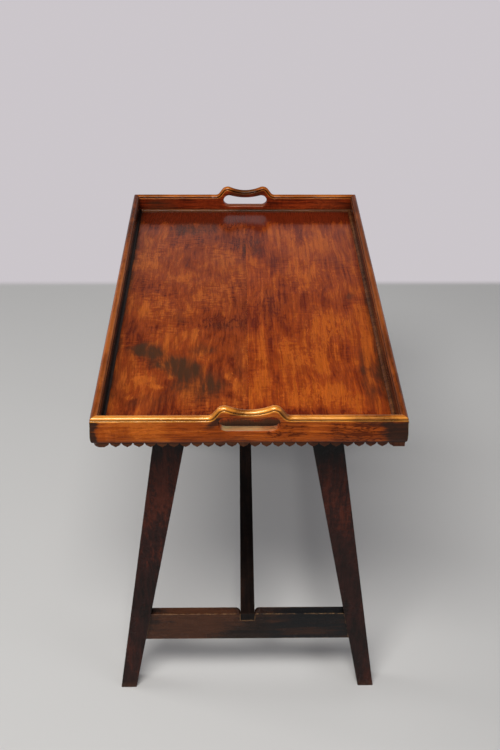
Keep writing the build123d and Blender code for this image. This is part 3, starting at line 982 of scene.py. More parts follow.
@dataclass
class HandHole:
    """The kidney-shaped hand hole of an end board, in millimetres from its straight crest."""

    reach: float = 47.7
    floor_drop: float = 24.0
    height: float = 24.8
    middle_height: float = 19.7
    edge_radius: float = 3.2
    edge_steps: int = 6
    floor_steps: int = 9
    end_steps: int = 18
    roof_steps: int = 7

    def outline(self, grown: float) -> list[Flat]:
        """Outline grown square to itself.

        Args:
            grown: How far it grows.

        Returns:
            Along and height of its points, once round.
        """
        end_radius = self.height / 2
        end_x = self.reach - end_radius
        end_z = end_radius - self.floor_drop
        sag = self.middle_height - end_radius
        roof_radius = (end_x**2 + sag**2 - end_radius**2) / (2 * (end_radius - sag))
        roof_centre = (0.0, end_z + sag + roof_radius)
        lean = math.atan2(end_z - roof_centre[1], end_x)
        reach = end_radius + grown
        half = [(end_x * step / self.floor_steps, end_z - reach) for step in range(self.floor_steps)]
        half += arc((end_x, end_z), reach, -math.pi / 2, lean + math.pi, self.end_steps)
        half += arc(roof_centre, roof_radius - grown, lean, -math.pi / 2, self.roof_steps)[1:]
        return half + [(-along, height) for along, height in reversed(half[1:-1])]

    def lip(self) -> list[Flat]:
        """Growth and depth of each ring of the rounded lip, from the face inwards."""
        turns = [math.pi / 2 * (1 - step / self.edge_steps) for step in range(self.edge_steps + 1)]
        return [(self.edge_radius * (1 - math.cos(t)), self.edge_radius * (1 - math.sin(t))) for t in turns]


def on_face(point: Flat, loops: Sequence[Sequence[Flat]]) -> bool:
    """Whether a point lies within an outline and outside the holes in it.

    Args:
        point: The point.
        loops: Corners of the outline and of each hole.

    Returns:
        True on the face.
    """
    crossings = 0
    for loop in loops:
        for (x1, z1), (x2, z2) in zip(loop, [*loop[1:], loop[0]]):
            if (z1 > point[1]) != (z2 > point[1]):
                crossings += point[0] < x1 + (x2 - x1) * (point[1] - z1) / (z2 - z1)
    return crossings % 2 == 1


@dataclass
class Gallery:
    """The four boards round the tray, with one moulded crest that meets at the mitres."""

    tray: TraySizes
    moulding: MouldingSweep
    belly_drop: float = 38.0
    belly_power: float = 0.8
    nosing_width: float = 12.0
    nosing_drop: float = 4.0
    quirk_gap: float = 1.4
    shoulder: float = 2.0
    shoulder_points: int = 7
    nosing_points: int = 17
    face_rows: int = 14
    face_grid: float = 4.0
    grid_clear: float = 0.45
    merge_gap: float = 0.003
    face_wave: float = 0.14
    wave_length: float = 55.0
    wave_shift: ClassVar[Point] = (37.0, 11.0, 5.0)
    mitre_rest: float = 1.0
    grip_reach: float = 46.8
    grip_fade: float = 31.2
    front_dirt: float = 0.7
    foot_dirt: float = 0.75
    dirt_rise: float = 2.2
    dirt_fade: float = 1.8
    rub_rise: float = 0.5
    rub_fade: float = 4.0
    end_rub: float = 0.75
    inner_rub: float = 0.5
    inner_turn: float = 0.55
    face_hold: float = 0.5
    lip_hold: float = 0.3
    hole_hold: float = 1.0

    # Wear with painted highlight, and dirt with painted shade in the quirk, on the section, from the foot of
    # its shoulder to the top of the nosing
    worn: ClassVar[Row] = (
        0.0, 0.3, 0.75, 1.0, 0.9, 0.4, 0.0, 0.1, 0.35, 0.8, 1.0, 1.0, 0.85, 0.6, 0.45, 0.4,
    )
    dirt: ClassVar[Row] = (
        0.0, 0.0, 0.0, 0.0, 0.1, 0.6, 1.0, 0.95, 0.6, 0.2, 0.0, 0.0, 0.0, 0.0, 0.0, 0.0,
    )
    # How far painted shade darkens each board's inner face, most on the left one, which the light misses
    hollow_dirt: ClassVar[dict[Side, float]] = {
        Side.LEFT: 1.9, Side.RIGHT: 0.5, Side.REAR: 0.1, Side.FRONT: 0.6,
    }

    # Stains; the mark just under the front handle's crest is painted shadow of the nosing
    stains: ClassVar[dict[Side, Marks]] = {
        Side.FRONT: marks(
            (-241, -13, 12, 10, 2.2), (-247, -34, 8, 22, 1.6), (240, -30, 32, 28, 2.4),
            (192, -13, 26, 8, 0.7), (152, -33, 30, 7, 0.5), (-60, -14, 10, 8, 0.5),
            (-196, -36, 20, 4, 0.5), (-20, -42, 40, 5, 0.5), (0, -3, 52, 8, 0.8), (-52, -6, 13, 10, 0.5),
        ),
        Side.REAR: marks((-190, -22, 60, 20, 0.4), (190, -24, 40, 20, 0.5), (0, 8, 50, 12, 0.7)),
        Side.LEFT: marks((-250, -20, 150, 30, 0.4)),
        Side.RIGHT: marks((-350, -26, 40, 24, 0.5), (120, -20, 160, 20, 0.3)),
    }
    # Along the crests these paint highlights and shade; the front face is made lighter on the left and darker
    # on the right as painted light and shade
    glows: ClassVar[dict[Side, Marks]] = {
        Side.FRONT: marks(
            (-158, -24, 34, 16, 0.6), (-140, -40, 18, 5, 0.5), (-90, -24, 22, 8, 0.4),
            (58, -26, 36, 22, -0.6), (110, -22, 18, 10, 0.3), (180, -28, 70, 30, -0.7),
            (-226, -2, 30, 6, 0.9), (-182, -2, 34, 6, 0.9), (-128, -2, 34, 6, 0.2), (-68, 0, 10, 6, 0.9),
            (-38, 17, 10, 8, 1.0), (-20, 12, 12, 8, -0.9), (18, 12, 14, 8, 0.8), (38, 17, 10, 8, 0.6),
            (56, 9, 9, 11, -1.3), (71, 0, 9, 6, 0.8), (128, -2, 34, 6, 0.4), (180, -2, 24, 6, -0.2),
            (216, -2, 26, 6, -0.7), (240, -1, 6, 5, 1.2),
        ),
        Side.REAR: marks(
            (-150, -26, 80, 18, 0.6), (160, -1, 26, 6, 0.3), (67, 0, 9, 6, 1.0), (42, 17, 8, 8, 1.0),
            (0, 10, 36, 12, -1.4), (-67, 0, 9, 6, 0.8), (-176, -1, 30, 6, 1.2), (-206, -1, 20, 6, 0.5),
        ),
        Side.LEFT: marks((-320, -2, 150, 7, -0.9), (90, -2, 190, 7, 0.6)),
        Side.RIGHT: marks((-280, -2, 130, 7, -0.5), (350, -2, 60, 7, -0.4)),
    }

    def section(self) -> list[Flat]:
        """Section of the crest, from the inner face over to the outer one.

        Returns:
            Across and drop of its points.
        """
        half, quarter = self.nosing_width / 2, math.pi / 2
        radius = (half**2 + self.nosing_drop**2) / (2 * self.nosing_drop)
        spread = math.asin(half / radius)
        nosing = arc((0.0, radius), radius, -quarter - spread, -quarter + spread, self.nosing_points - 1)
        centre = (self.tray.half_board - self.shoulder, self.face_top)
        outer = arc(centre, self.shoulder, -quarter, 0.0, self.shoulder_points - 1)
        return [(-across, drop) for across, drop in reversed(outer)] + nosing + outer

    @property
    def face_top(self) -> float:
        """Drop at which the flat faces start."""
        return self.nosing_drop + self.quirk_gap + self.shoulder

    def across(self, height: float, outer: bool) -> float:
        """Across of the flat inner face, or of the swelled outer one.

        Args:
            height: Height from the straight crest.
            outer: Whether the outer face is meant.

        Returns:
            The across.
        """
        share = (-height - self.face_top) / (self.belly_drop - self.face_top)
        foot = (-height - self.belly_drop) / (self.tray.height - self.belly_drop)
        swell = smooth_step(share) if foot <= 0 else math.sqrt(max(0.0, 1 - foot**2)) ** self.belly_power
        return self.tray.half_board + self.tray.belly * swell if outer else -self.tray.half_board

    def mitre_end(self, side: Side, across: float) -> float:
        """Distance from the middle of a run to its mitre, at one across."""
        return self.tray.half_run(side) - self.tray.half_board + across

    def board(self, side: Side, finish: Material, crest_finish: Material) -> None:
        """Build one board.

        Args:
            side: The side that it stands on.
            finish: Its material.
            crest_finish: The material of its handled crest.
        """
        half_run = self.mitre_end(side, 0.0)
        line = CrestLine()
        path = line.serpentine(half_run) if side.is_end else line.straight(half_run)
        hole = HandHole() if side.is_end else None
        section = self.section()
        mesh = self.moulding.sweep(f"{side.word}_board", path, section, False, crest_finish)
        mesh.materials.append(finish)
        with opened(mesh) as shaped:
            self.mark_crest(shaped, side, len(section))
            swept = set(shaped.faces)
            edge = [(vert.co.x, vert.co.z) for vert in shaped.verts]
            self.face(shaped, side, edge[len(section) - 1 :: len(section)], hole, True)
            self.face(shaped, side, edge[:: len(section)], hole, False)
            self.foot(shaped, side)
            if hole:
                self.hole_wall(shaped, hole)
            bmesh.ops.remove_doubles(shaped, verts=shaped.verts, dist=self.merge_gap)
            rim = [edge for edge in shaped.edges if edge.is_boundary]
            bmesh.ops.holes_fill(shaped, edges=rim, sides=0)
            for face in shaped.faces:
                face.material_index = 0 if face in swept else 1
            self.wave(shaped, side)
            if hole:
                self.mark_lip(shaped, hole)
            sets = {"stain": self.stains[side], "glow": self.glows[side]}
            mark_vertices(shaped, lambda place: (place.x, place.z), **sets)
            self.mark_hollows(shaped, side)
            log.info("%s board has %d open edges", side.word, open_edges(shaped))
        kind = "end" if side.is_end else "side"
        node = f"{side.word}_{kind}_board"
        name = f"{side.word}_gallery_board"
        finish_piece(name, mesh, self.tray.seat(side), "tray", node)

    def face(
        self, shaped: BMesh, side: Side, top: Sequence[Flat], hole: HandHole | None, outer: bool
    ) -> None:
        """Add the outer or the inner face below the moulding, on a fine grid.

        Args:
            shaped: The board so far.
            side: The board's side.
            top: Along and height of the moulding's lower edge, from left to right.
            hole: The hand hole, or None.
            outer: Whether this is the outer face.
        """
        fall = self.tray.height - self.face_top
        rows = [-self.face_top - fall * row / self.face_rows for row in range(1, self.face_rows + 1)]
        right = [(self.mitre_end(side, self.across(z, outer)), z) for z in rows]
        left = [(-along, z) for along, z in reversed(right)]
        end, low = right[-1]
        columns = round(2 * end / self.face_grid)
        foot = [(end - 2 * end * step / columns, low) for step in range(1, columns)]
        loops = [[*top, *right, *foot, *left]]
        if hole:
            loops.append(hole.outline(hole.edge_radius))
        points, edges = [], []
        for loop in loops:
            numbers = range(len(points), len(points) + len(loop))
            edges += zip(numbers, [*numbers[1:], numbers[0]])
            points += [Vector(point) for point in loop]
        clear = self.grid_clear * self.face_grid
        highest = max(z for _, z in top)
        for row in range(1, int((highest + self.tray.height) / self.face_grid)):
            for column in range(1, columns):
                along = end * (2 * (column + 0.5 * (row % 2)) / columns - 1)
                spot = (along, highest - row * self.face_grid)
                near = any(math.dist(spot, other) <= clear for loop in loops for other in loop)
                if not near and on_face(spot, loops):
                    points.append(Vector(spot))
        spread, _, triangles, *_ = delaunay_2d_cdt(points, edges, [], 1, TOUCH)
        made = [shaped.verts.new((p.x, -self.across(p.y, outer), p.y)) for p in spread]
        for corners in triangles:
            middle = (sum(spread[c].x for c in corners) / 3, sum(spread[c].y for c in corners) / 3)
            if on_face(middle, loops):
                shaped.faces.new([made[c] for c in corners])
        for vert in made:
            if not vert.link_faces:
                shaped.verts.remove(vert)

    def foot(self, shaped: BMesh, side: Side) -> None:
        """Close the board underneath, between the lower edges of both faces.

        Args:
            shaped: The board so far.
            side: The board's side.
        """
        rows = []
        for outer in (True, False):
            across = self.across(-self.tray.height, outer)
            end = self.mitre_end(side, across)
            count = round(2 * end / self.face_grid)
            spots = [end - 2 * end * step / count for step in range(count + 1)]
            rows.append([shaped.verts.new((along, -across, -self.tray.height)) for along in spots])
        strips = [shaped.edges.new(pair) for row in rows for pair in zip(row, row[1:])]
        strips += [shaped.edges.new((rows[0][end], rows[1][end])) for end in (0, -1)]
        bmesh.ops.triangle_fill(shaped, edges=strips, use_beauty=True)

    def hole_wall(self, shaped: BMesh, hole: HandHole) -> None:
        """Add the rounded lips of the hand hole and the wall between them.

        Args:
            shaped: The board so far.
            hole: The hand hole.
        """
        loops = []
        for grown, depth in hole.lip():
            places = [(x, depth - self.across(z, True), z) for x, z in hole.outline(grown)]
            loops.append([shaped.verts.new(place) for place in places])
        for grown, depth in reversed(hole.lip()):
            places = [(x, self.tray.half_board - depth, z) for x, z in hole.outline(grown)]
            loops.append([shaped.verts.new(place) for place in places])
        for near, far in zip(loops, loops[1:]):
            for corners in zip(near, near[1:] + near[:1], far[1:] + far[:1], far):
                shaped.faces.new(corners)

    def wave(self, shaped: BMesh, side: Side) -> None:
        """Move the faces by a small slow wave, as a hand plane leaves them.

        Args:
            shaped: The board.
            side: The board's side, which shifts the wave.
        """
        shift = Vector(self.wave_shift)
        shift.x *= side.value
        limit = self.mitre_end(side, -self.tray.half_board) - self.mitre_rest
        for vert in shaped.verts:
            if abs(vert.co.x) < limit:
                vert.co.y += self.face_wave * noise.noise(vert.co / self.wave_length + shift)

    def mark_crest(self, shaped: BMesh, side: Side, ring: int) -> None:
        """Mark the swept crest where hands rub it, lighter across the shoulder and the nosing as painted
        highlight, and where dirt and painted shade sit in its quirks.

        Args:
            shaped: The swept crest, its vertices still in the order of the sweep.
            side: The board's side.
            ring: Number of vertices in the section.
        """
        handled = shaped.verts.layers.float.new("handled")
        soiled = shaped.verts.layers.float.new("soiled")
        quirk_dirt_and_shade = self.front_dirt if side is Side.FRONT else 1.0
        for number, vert in enumerate(shaped.verts):
            turn = number % ring
            step = min(turn, ring - 1 - turn)
            vert[handled] = self.worn[step]
            vert[soiled] = quirk_dirt_and_shade * self.dirt[step]
            if step >= self.shoulder_points:
                # Hands rub the handles more than the rest; the outer half is lighter than the inner one as
                # painted light, except at the rear
                past = (abs(vert.co.x) - self.grip_reach) / self.grip_fade
                grip = 1 - smooth_step(past) if side.is_end else 0.0
                inner = 1.0 if side is Side.REAR else smooth_step(turn / (self.inner_turn * (ring - 1)))
                by_grip = self.end_rub + (1 - self.end_rub) * grip
                vert[handled] = self.worn[step] * by_grip * (self.inner_rub + (1 - self.inner_rub) * inner)

    def mark_hollows(self, shaped: BMesh, side: Side) -> None:
        """Paint shade down the inner faces, most on the left one, and darken the board along its foot.

        Args:
            shaped: The board.
            side: The board's side.
        """
        stain = shaped.verts.layers.float["stain"]
        soiled = shaped.verts.layers.float["soiled"]
        for vert in shaped.verts:
            if vert.co.y > self.tray.half_board - self.face_hold and vert.co.z < -self.face_top:
                vert[stain] = max(vert[stain], self.hollow_dirt[side])
            low = smooth_step((-vert.co.z - self.tray.height + self.dirt_rise) / self.dirt_fade)
            vert[soiled] = max(vert[soiled], self.foot_dirt * low)

    def mark_lip(self, shaped: BMesh, hole: HandHole) -> None:
        """Mark the hand hole pale along its lower lip, as wear and painted highlight.

        Args:
            shaped: The board.
            hole: The hand hole.
        """
        handled = shaped.verts.layers.float["handled"]
        for vert in shaped.verts:
            height = vert.co.z + hole.floor_drop
            inside = abs(vert.co.y) < self.tray.half_board - self.lip_hold
            if inside and abs(vert.co.x) < hole.reach + self.hole_hold and abs(height) < hole.height / 2:
                rubbed = 1 - smooth_step((height - self.rub_rise) / self.rub_fade)
                vert[handled] = max(vert[handled], rubbed)


@dataclass
class FootBeads:
    """The quarter-round beads at the foot of the four walls."""

    tray: TraySizes
    moulding: MouldingSweep
    radius: float = 4.5
    steps: int = 8
    run_step: float = 30.0

    def bead(self, side: Side, finish: Material) -> None:
        """Build the bead of one side.

        Args:
            side: The side.
            finish: Its material.
        """
        wall = -self.tray.half_board
        drop = self.tray.crest - self.tray.floor
        section = [(wall, drop), *arc((wall, drop), -self.radius, 0.0, math.pi / 2, self.steps)]
        path = CrestLine(run_step=self.run_step).straight(self.tray.half_run(side) + wall)
        mesh = self.moulding.sweep(f"{side.word}_bead", path, section, True, finish)
        with opened(mesh) as shaped:
            log.info("%s bead has %d open edges", side.word, open_edges(shaped))
        name, node = f"{side.word}_foot_bead", f"{side.word}_floor_bead"
        finish_piece(name, mesh, self.tray.seat(side), "tray", node)


@dataclass
class PinkedAprons:
    """The four pinked strips under the boards, one corner block worn round."""

    tray: TraySizes
    strip: PinkedStrip
    recess: float = 1.0
    hang: float = 10.0
    web: float = 1.2
    block: float = 26.6
    pitch: float = 18.24
    knee_along: float = 0.13
    knee_down: float = 0.5
    worn_radius: float = 12.0
    worn_steps: int = 6
    merge_gap: float = 0.01

    def apron(self, side: Side, finish: Material) -> None:
        """Build the strip of one side.

        Args:
            side: The side.
            finish: Its material.
        """
        half_length = self.tray.half_run(side) - self.recess
        thickness = self.tray.thickness - self.recess
        zone = 2 * (half_length - self.block)
        teeth = round(zone / self.pitch)
        values = {
            "Teeth": teeth,
            "Half Length": half_length - thickness,
            "Pitch": zone / teeth,
            "Hang": self.hang,
            "Web": self.web,
            "Knee Along": self.knee_along,
            "Knee Down": self.knee_down,
            "Thickness": thickness,
            "Outer Across": self.tray.half_board - self.recess,
            "Top Drop": self.tray.height,
            "Finish": finish,
        }
        mesh = self.strip.run(f"{side.word}_strip", values)
        with opened(mesh) as shaped:
            if side in (Side.FRONT, Side.LEFT):
                self.wear_corner(shaped, -1 if side is Side.FRONT else 1, half_length)
        name, node = f"{side.word}_pinked_apron", f"{side.word}_apron"
        finish_piece(name, mesh, self.tray.seat(side), "tray", node)

    def wear_corner(self, shaped: BMesh, end: int, half_length: float) -> None:
        """Round the outer corner of one end block in plan, up to the mitre.

        Args:
            shaped: The strip.
            end: -1 for the left end and 1 for the right one.
            half_length: Half the strip's length on its outer face.
        """
        radius = self.worn_radius
        outer = self.tray.half_board - self.recess
        start = half_length - radius
        turns = [math.pi / 4 * step / self.worn_steps for step in range(self.worn_steps + 1)]
        cuts = [start + radius * math.sin(turn) for turn in turns]
        for cut in cuts:
            everything = [*shaped.verts, *shaped.edges, *shaped.faces]
            place = (end * cut, 0, 0)
            bmesh.ops.bisect_plane(shaped, geom=everything, plane_co=place, plane_no=(1, 0, 0), dist=TOUCH)
        for vert in shaped.verts:
            along = end * vert.co.x
            held = min(along, cuts[-1])
            if along >= start:
                limit = outer - radius + math.sqrt(radius**2 - (held - start) ** 2)
                if -vert.co.y > limit:
                    vert.co.y = -limit
                    vert.co.x = end * held
        bmesh.ops.remove_doubles(shaped, verts=shaped.verts, dist=self.merge_gap)


@dataclass
class TrayFloor:
    """The two boards of the floor, each with a slow hand-planed wave in its top."""

    tray: TraySizes
    joint: float = 0.04
    grid: float = 4.5
    wave: float = 0.22
    wave_length: float = 120.0
    wave_stretch: float = 2.2
    arris: float = 0.1

    # Stains; the strips along the front board and the left wall are painted shadow of those boards, and a
    # darker strip runs along the right wall
    stains: ClassVar[Marks] = marks(
        (-177, -158, 38, 26, 0.95), (-150, -188, 36, 26, 0.5), (-114, -204, 38, 30, 0.9),
        (-84, -258, 50, 50, 0.75), (-83, -156, 28, 22, 0.6), (-165, -300, 44, 28, 0.35),
        (-218, -250, 16, 50, 0.4), (42, 0, 28, 70, 0.2), (11, 212, 26, 54, 0.35),
        (-108, 290, 64, 34, 0.4), (-33, -75, 44, 14, 0.3), (198, 15, 9, 14, 0.6),
        (207, -225, 22, 100, 0.6), (-127, -50, 20, 26, 0.35), (-14, -187, 12, 60, 0.35),
        (0, -366, 300, 13, 0.9), (0, -357, 60, 13, 0.9), (-231, 0, 6, 420, 0.9), (231, -150, 8, 260, 0.7),
    )
    # Tone varies; the dark band along the rear board is painted shade and reflection of it, and the darker
    # strip behind the front board painted shadow
    glows: ClassVar[Marks] = marks(
        (142, -88, 44, 70, 0.7), (117, -187, 44, 50, 0.5), (110, -290, 64, 36, 0.8),
        (67, -144, 14, 44, 0.4), (120, 240, 70, 70, 0.35), (-185, 150, 50, 80, 0.25),
        (-182, -246, 18, 14, 0.7), (-150, -262, 14, 8, 0.8), (-200, -285, 16, 6, 0.7),
        (-27, -244, 9, 26, 1.0), (-89, -100, 16, 22, 0.5), (-189, -25, 12, 34, 0.3),
        (-131, -232, 9, 9, 0.8), (24, -230, 24, 90, 0.3), (-110, 50, 60, 70, 0.2),
        (120, 90, 60, 80, 0.4), (0, 362, 320, 42, -3.0), (38, 10, 44, 110, -0.3),
        (11, 225, 44, 80, -0.4), (-40, 310, 200, 40, -0.3), (-40, -70, 70, 24, -0.35),
        (0, -345, 240, 30, -0.6),
    )

    def board(self, hand: int, finish: Material) -> None:
        """Build one floor board.

        Args:
            hand: -1 for the left board and 1 for the right one.
            finish: Its material.
        """
        far = self.tray.half_width - self.tray.thickness
        reach = self.tray.half_length - self.tray.thickness
        columns, rows = round(far / self.grid), round(2 * reach / self.grid)
        flat, run = self.joint + self.arris, far - self.joint - self.arris
        spots = [self.joint] + [flat + run * column / columns for column in range(columns + 1)]
        shaped = bmesh.new()
        top = []
        for y in (-reach + 2 * reach * row / rows for row in range(rows + 1)):
            sinks = [self.sink(hand * x, y, hand) for x in spots]
            sinks[0] += self.arris
            places = [(hand * x, y, self.tray.floor - max(0.0, sink)) for x, sink in zip(spots, sinks)]
            top.append([shaped.verts.new(place) for place in places])
        for near, after in zip(top, top[1:]):
            for corners in zip(near, near[1:], after[1:], after):
                shaped.faces.new(corners)
        after, before = [line[-1] for line in top[1:-1]], [line[0] for line in top[-2:0:-1]]
        rim = [*top[0], *after, *reversed(top[-1]), *before]
        low = [shaped.verts.new((*vert.co.xy, self.tray.underside)) for vert in rim]
        shaped.faces.new(low)
        for corners in zip(low, rim, rim[1:] + rim[:1], low[1:] + low[:1]):
            shaped.faces.new(corners)
        bmesh.ops.recalc_face_normals(shaped, faces=shaped.faces)
        mark_vertices(shaped, lambda place: (place.x, place.y), stain=self.stains, glow=self.glows)
        word = "left" if hand < 0 else "right"
        mesh = bpy.data.meshes.new(f"{word}_floor")
        shaped.to_mesh(mesh)
        shaped.free()
        mesh.materials.append(finish)
        node = f"{word}_floor_board"
        finish_piece(f"{word}_tray_floor", mesh, Matrix.Identity(4), "tray", node)

    def sink(self, x: float, y: float, hand: int) -> float:
        """How far the wave lies below the floor at a place."""
        place = Vector((x / self.wave_length, y / (self.wave_stretch * self.wave_length), 3.0 * hand))
        return self.wave * (0.5 + noise.noise(place))


@dataclass
class StandTimbers:
    """Legs and end stretchers of the stand, cut finer so that wear, painted shade and painted light can be
    marked on them.
    """

    cut_gap: float = 16.0
    cut_reach: float = 0.0005
    merge_gap: float = 0.001
    level: float = math.radians(0.5)
    scuff: float = 12.0

    # The tops of the front legs are darkened as painted shadow of the tray, with a lighter band below as
    # painted light; the right front leg is darker near its foot, and the stretchers lighter at the left and
    # darker at the right
    glows: ClassVar[dict[str, Marks]] = {
        "front_left_leg": marks((490, 0, 60, 1, 0.6), (380, 0, 110, 1, 0.35)),
        "front_right_leg": marks((440, 0, 90, 1, 0.3)),
        "front_stretcher": marks((-105, 0, 70, 1, 0.9)),
    }
    stains: ClassVar[dict[str, Marks]] = {
        "front_left_leg": marks((640, 0, 90, 1, 1.6)),
        "front_right_leg": marks((60, 0, 110, 1, 0.35), (640, 0, 105, 1, 1.6)),
        "front_stretcher": marks((125, 0, 90, 1, 1.3)),
    }
    glows["rear_stretcher"] = glows["front_stretcher"]
    stains["rear_stretcher"] = stains["front_stretcher"]

    def cut(self, node: str, axis: int) -> BMesh:
        """Copy a CAD node in millimetres and cut it across at even gaps.

        Args:
            node: The node.
            axis: The axis that the cuts stand across.

        Returns:
            The cut copy.
        """
        shaped = bmesh.new()
        shaped.from_mesh(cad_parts[node].data)
        bmesh.ops.scale(shaped, vec=(1 / MM, 1 / MM, 1 / MM), verts=shaped.verts)
        bmesh.ops.remove_doubles(shaped, verts=shaped.verts, dist=self.merge_gap)
        bmesh.ops.dissolve_limit(shaped, angle_limit=self.level, verts=shaped.verts, edges=shaped.edges)
        low, high = (corner[axis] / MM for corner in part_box(node))
        cuts = round((high - low) / self.cut_gap)
        normal = Vector([float(axis == turn) for turn in range(3)])
        for number in range(1, cuts):
            place = normal * (low + (high - low) * number / cuts)
            everything = [*shaped.verts, *shaped.edges, *shaped.faces]
            bmesh.ops.bisect_plane(
                shaped, geom=everything, plane_co=place, plane_no=normal, dist=self.cut_reach
            )
        return shaped

    def timber(self, node: str, axis: int, finish: Material, slot: str) -> None:
        """Build one stretcher, or one leg, which is scuffed at its foot.

        Args:
            node: Its node.
            axis: The axis that it is marked along.
            finish: Its material.
            slot: The record's material slot.
        """
        shaped = self.cut(node, axis)
        sets = {"glow": self.glows.get(node, ()), "stain": self.stains.get(node, ())}
        mark_vertices(shaped, lambda place: (place[axis], 0.0), **sets)
        if slot == "stand_leg":
            handled = shaped.verts.layers.float.new("handled")
            for vert in shaped.verts:
                vert[handled] = 1 - smooth_step(vert.co.z / self.scuff)
        mesh = bpy.data.meshes.new(node)
        shaped.to_mesh(mesh)
        log.info("%s has %d open edges", node, open_edges(shaped))
        shaped.free()
        mesh.materials.append(finish)
        finish_piece(f"{node}_timber", mesh, Matrix.Identity(4), "stand", node)


def dress(names: Iterable[str], material: Material) -> None:
    """Give CAD nodes a better material.

    Args:
        names: Names of the nodes.
        material: The material for all their slots.
    """
    for name in names:
        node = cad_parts[name]
        if not node.material_slots:
            node.data.materials.append(material)
        for slot in node.material_slots:
            slot.material = material
        log.info("dressed %s with %s", name, material.name)


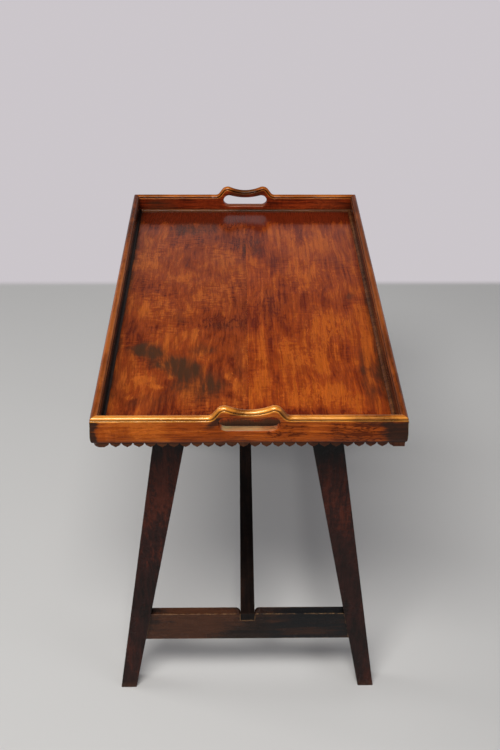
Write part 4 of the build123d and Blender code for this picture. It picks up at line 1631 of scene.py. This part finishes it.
@dataclass
class Studio:
    """Pale floor, soft lights and the camera at the photograph's angle."""

    floor_reach: float = 30.0
    floor_paint: Colour = (0.63, 0.63, 0.625)
    wall_paint: Colour = (0.64, 0.61, 0.63)
    wall_line: float = 1.16
    wall_blend: float = 0.02
    far_paint: Colour = (0.60, 0.565, 0.595)
    far_from: float = 2.2
    far_to: float = 3.4
    room_light: Colour = (0.20, 0.20, 0.21)
    low_room: Colour = (0.62, 0.59, 0.62)
    high_room: Colour = (0.03, 0.03, 0.035)
    low_to: float = 0.36
    high_from: float = 0.57
    camera_place: Point = (-0.0187, -1.4474, 1.5934)
    pitch: float = 37.257
    yaw: float = 1.025
    roll: float = 0.469
    lens: float = 43.2
    sensor: float = 36.0

    def build(self) -> None:
        """Make the floor, the world, the lights and the camera."""
        self.floor()
        self.world()
        self.lamp("key_lamp", (-0.36, -1.25, 2.85), (0.0, -0.05, 0.6), (1.5, 0.7), 60.0, (1.0, 0.975, 0.94))
        self.lamp("fill_lamp", (1.9, -1.3, 1.9), (0.0, 0.0, 0.4), (1.0, 1.0), 6.0, (0.97, 0.98, 1.0))
        self.lamp("left_lamp", (-2.1, 0.3, 2.3), (0.0, 0.0, 0.3), (0.8, 0.8), 16.0, (1.0, 0.99, 0.98))
        self.camera()

    def floor(self) -> None:
        """Make the floor, a little cooler beyond the line where the wall would start."""
        reach = self.floor_reach
        mesh = bpy.data.meshes.new("studio_floor")
        corners = [(-reach, -reach, 0), (reach, -reach, 0), (reach, reach, 0), (-reach, reach, 0)]
        mesh.from_pydata(corners, [], [(0, 1, 2, 3)])
        made = bpy.data.materials.new("studio_floor_paint")
        mesh.materials.append(made)
        bench = NodeBench.on(made)
        place = bench.add("ShaderNodeTexCoord")["Object"]
        back = bench.add("ShaderNodeSeparateXYZ", {"Vector": place})["Y"]
        share = bench.remap(back, self.wall_line - self.wall_blend, self.wall_line + self.wall_blend)
        colour = bench.blend(share, self.floor_paint, self.wall_paint)
        colour = bench.shaded(colour, bench.remap(bench.noise(place, 900.0, 3.0), 0.3, 0.7, (0.96, 1.03)))
        sockets = {"Base Color": colour, "Roughness": 0.8, "Specular IOR Level": 0.2}
        shader = bench.add("ShaderNodeBsdfPrincipled", sockets)["BSDF"]
        far = bench.remap(bench.math("LENGTH", place), self.far_from, self.far_to)
        away = bench.math("MAXIMUM", far, share)
        paint = bench.add("ShaderNodeEmission", {"Color": (*self.far_paint, 1.0), "Strength": 1.0})[0]
        mixed = bench.add("ShaderNodeMixShader", {0: bench.seen() * away, 1: shader, 2: paint})[0]
        bench.add("ShaderNodeOutputMaterial", {"Surface": mixed})
        linked("studio_floor", mesh)

    def world(self) -> None:
        """Make the even room light, pale where the camera and the polish see it."""
        room = bpy.data.worlds.new("studio_room")
        bpy.context.scene.world = room
        bench = NodeBench.on(room)
        way = bench.add("ShaderNodeTexCoord")["Generated"]
        height = bench.add("ShaderNodeSeparateXYZ", {"Vector": way})["Z"]
        shown = bench.blend(bench.remap(height, self.low_to, self.high_from), self.low_room, self.high_room)
        colour = bench.blend(bench.seen(), self.room_light, shown)
        light = bench.add("ShaderNodeBackground", {"Color": colour, "Strength": 1.0})[0]
        bench.add("ShaderNodeOutputWorld", {"Surface": light})

    def lamp(self, name: str, place: Point, target: Point, size: Flat, power: float, colour: Colour) -> None:
        """Make one soft lamp.

        Args:
            name: The lamp's name.
            place: Where it hangs.
            target: The point that it faces.
            size: Its width and height.
            power: Its power in watts.
            colour: Its colour.
        """
        light = bpy.data.lights.new(name, "AREA")
        light.shape = "RECTANGLE"
        light.size, light.size_y = size
        light.energy = power
        light.color = colour
        piece = linked(name, light)
        piece.location = place
        piece.rotation_euler = (Vector(target) - Vector(place)).to_track_quat("-Z", "Y").to_euler()

    def camera(self) -> None:
        """Make the camera at the photograph's viewing angle."""
        pitch, yaw, roll = (math.radians(angle) for angle in (self.pitch, self.yaw, self.roll))
        ahead = Vector((math.sin(yaw) * math.cos(pitch), math.cos(yaw) * math.cos(pitch), -math.sin(pitch)))
        level = Vector((math.cos(yaw), -math.sin(yaw), 0.0))
        rise = level.cross(ahead)
        right = math.cos(roll) * level + math.sin(roll) * rise
        above = math.cos(roll) * rise - math.sin(roll) * level
        turned = Matrix((right, above, -ahead)).transposed().to_4x4()
        data = bpy.data.cameras.new("camera")
        data.lens = self.lens
        data.sensor_width = self.sensor
        data.clip_start = 0.05
        data.clip_end = 100.0
        piece = linked("camera", data)
        piece.matrix_world = Matrix.Translation(self.camera_place) @ turned
        bpy.context.scene.camera = piece
        bpy.context.scene.view_settings.view_transform = "Standard"


def main() -> None:
    """Build the studio and every piece, in order."""
    noise.seed_set(NOISE_SEED)
    Studio().build()
    finishes = Finishes()
    moulding = MouldingSweep()
    tray = TraySizes.from_frame()
    floor = TrayFloor(tray)
    floor.board(-1, finishes.floor_left)
    floor.board(1, finishes.floor_right)
    gallery = Gallery(tray, moulding)
    ends = {
        Side.FRONT: (finishes.front_end, finishes.front_crest),
        Side.REAR: (finishes.rear_end, finishes.rear_crest),
    }
    beads = FootBeads(tray, moulding)
    aprons = PinkedAprons(tray, PinkedStrip())
    for side in Side:
        gallery.board(side, *ends.get(side, (finishes.side_gallery, finishes.side_crest)))
        # The left bead takes the near-black finish as painted shade of its wall
        beads.bead(side, finishes.long_rail if side is Side.LEFT else finishes.bead)
        aprons.apron(side, finishes.apron)
    dress(["corner_splines"], finishes.apron)
    timbers = StandTimbers()
    for end in ("front", "rear"):
        for hand in ("left", "right"):
            timbers.timber(f"{end}_{hand}_leg", 2, finishes.leg, "stand_leg")
        timbers.timber(f"{end}_stretcher", 0, finishes.rail, "stand_rail")
    dress(["front_top_rail", "rear_top_rail"], finishes.rail)
    # Near-black finish as painted shade under the tray
    dress(["medial_stretcher", "left_top_rail", "right_top_rail"], finishes.long_rail)


if __name__ == "__main__":
    main()
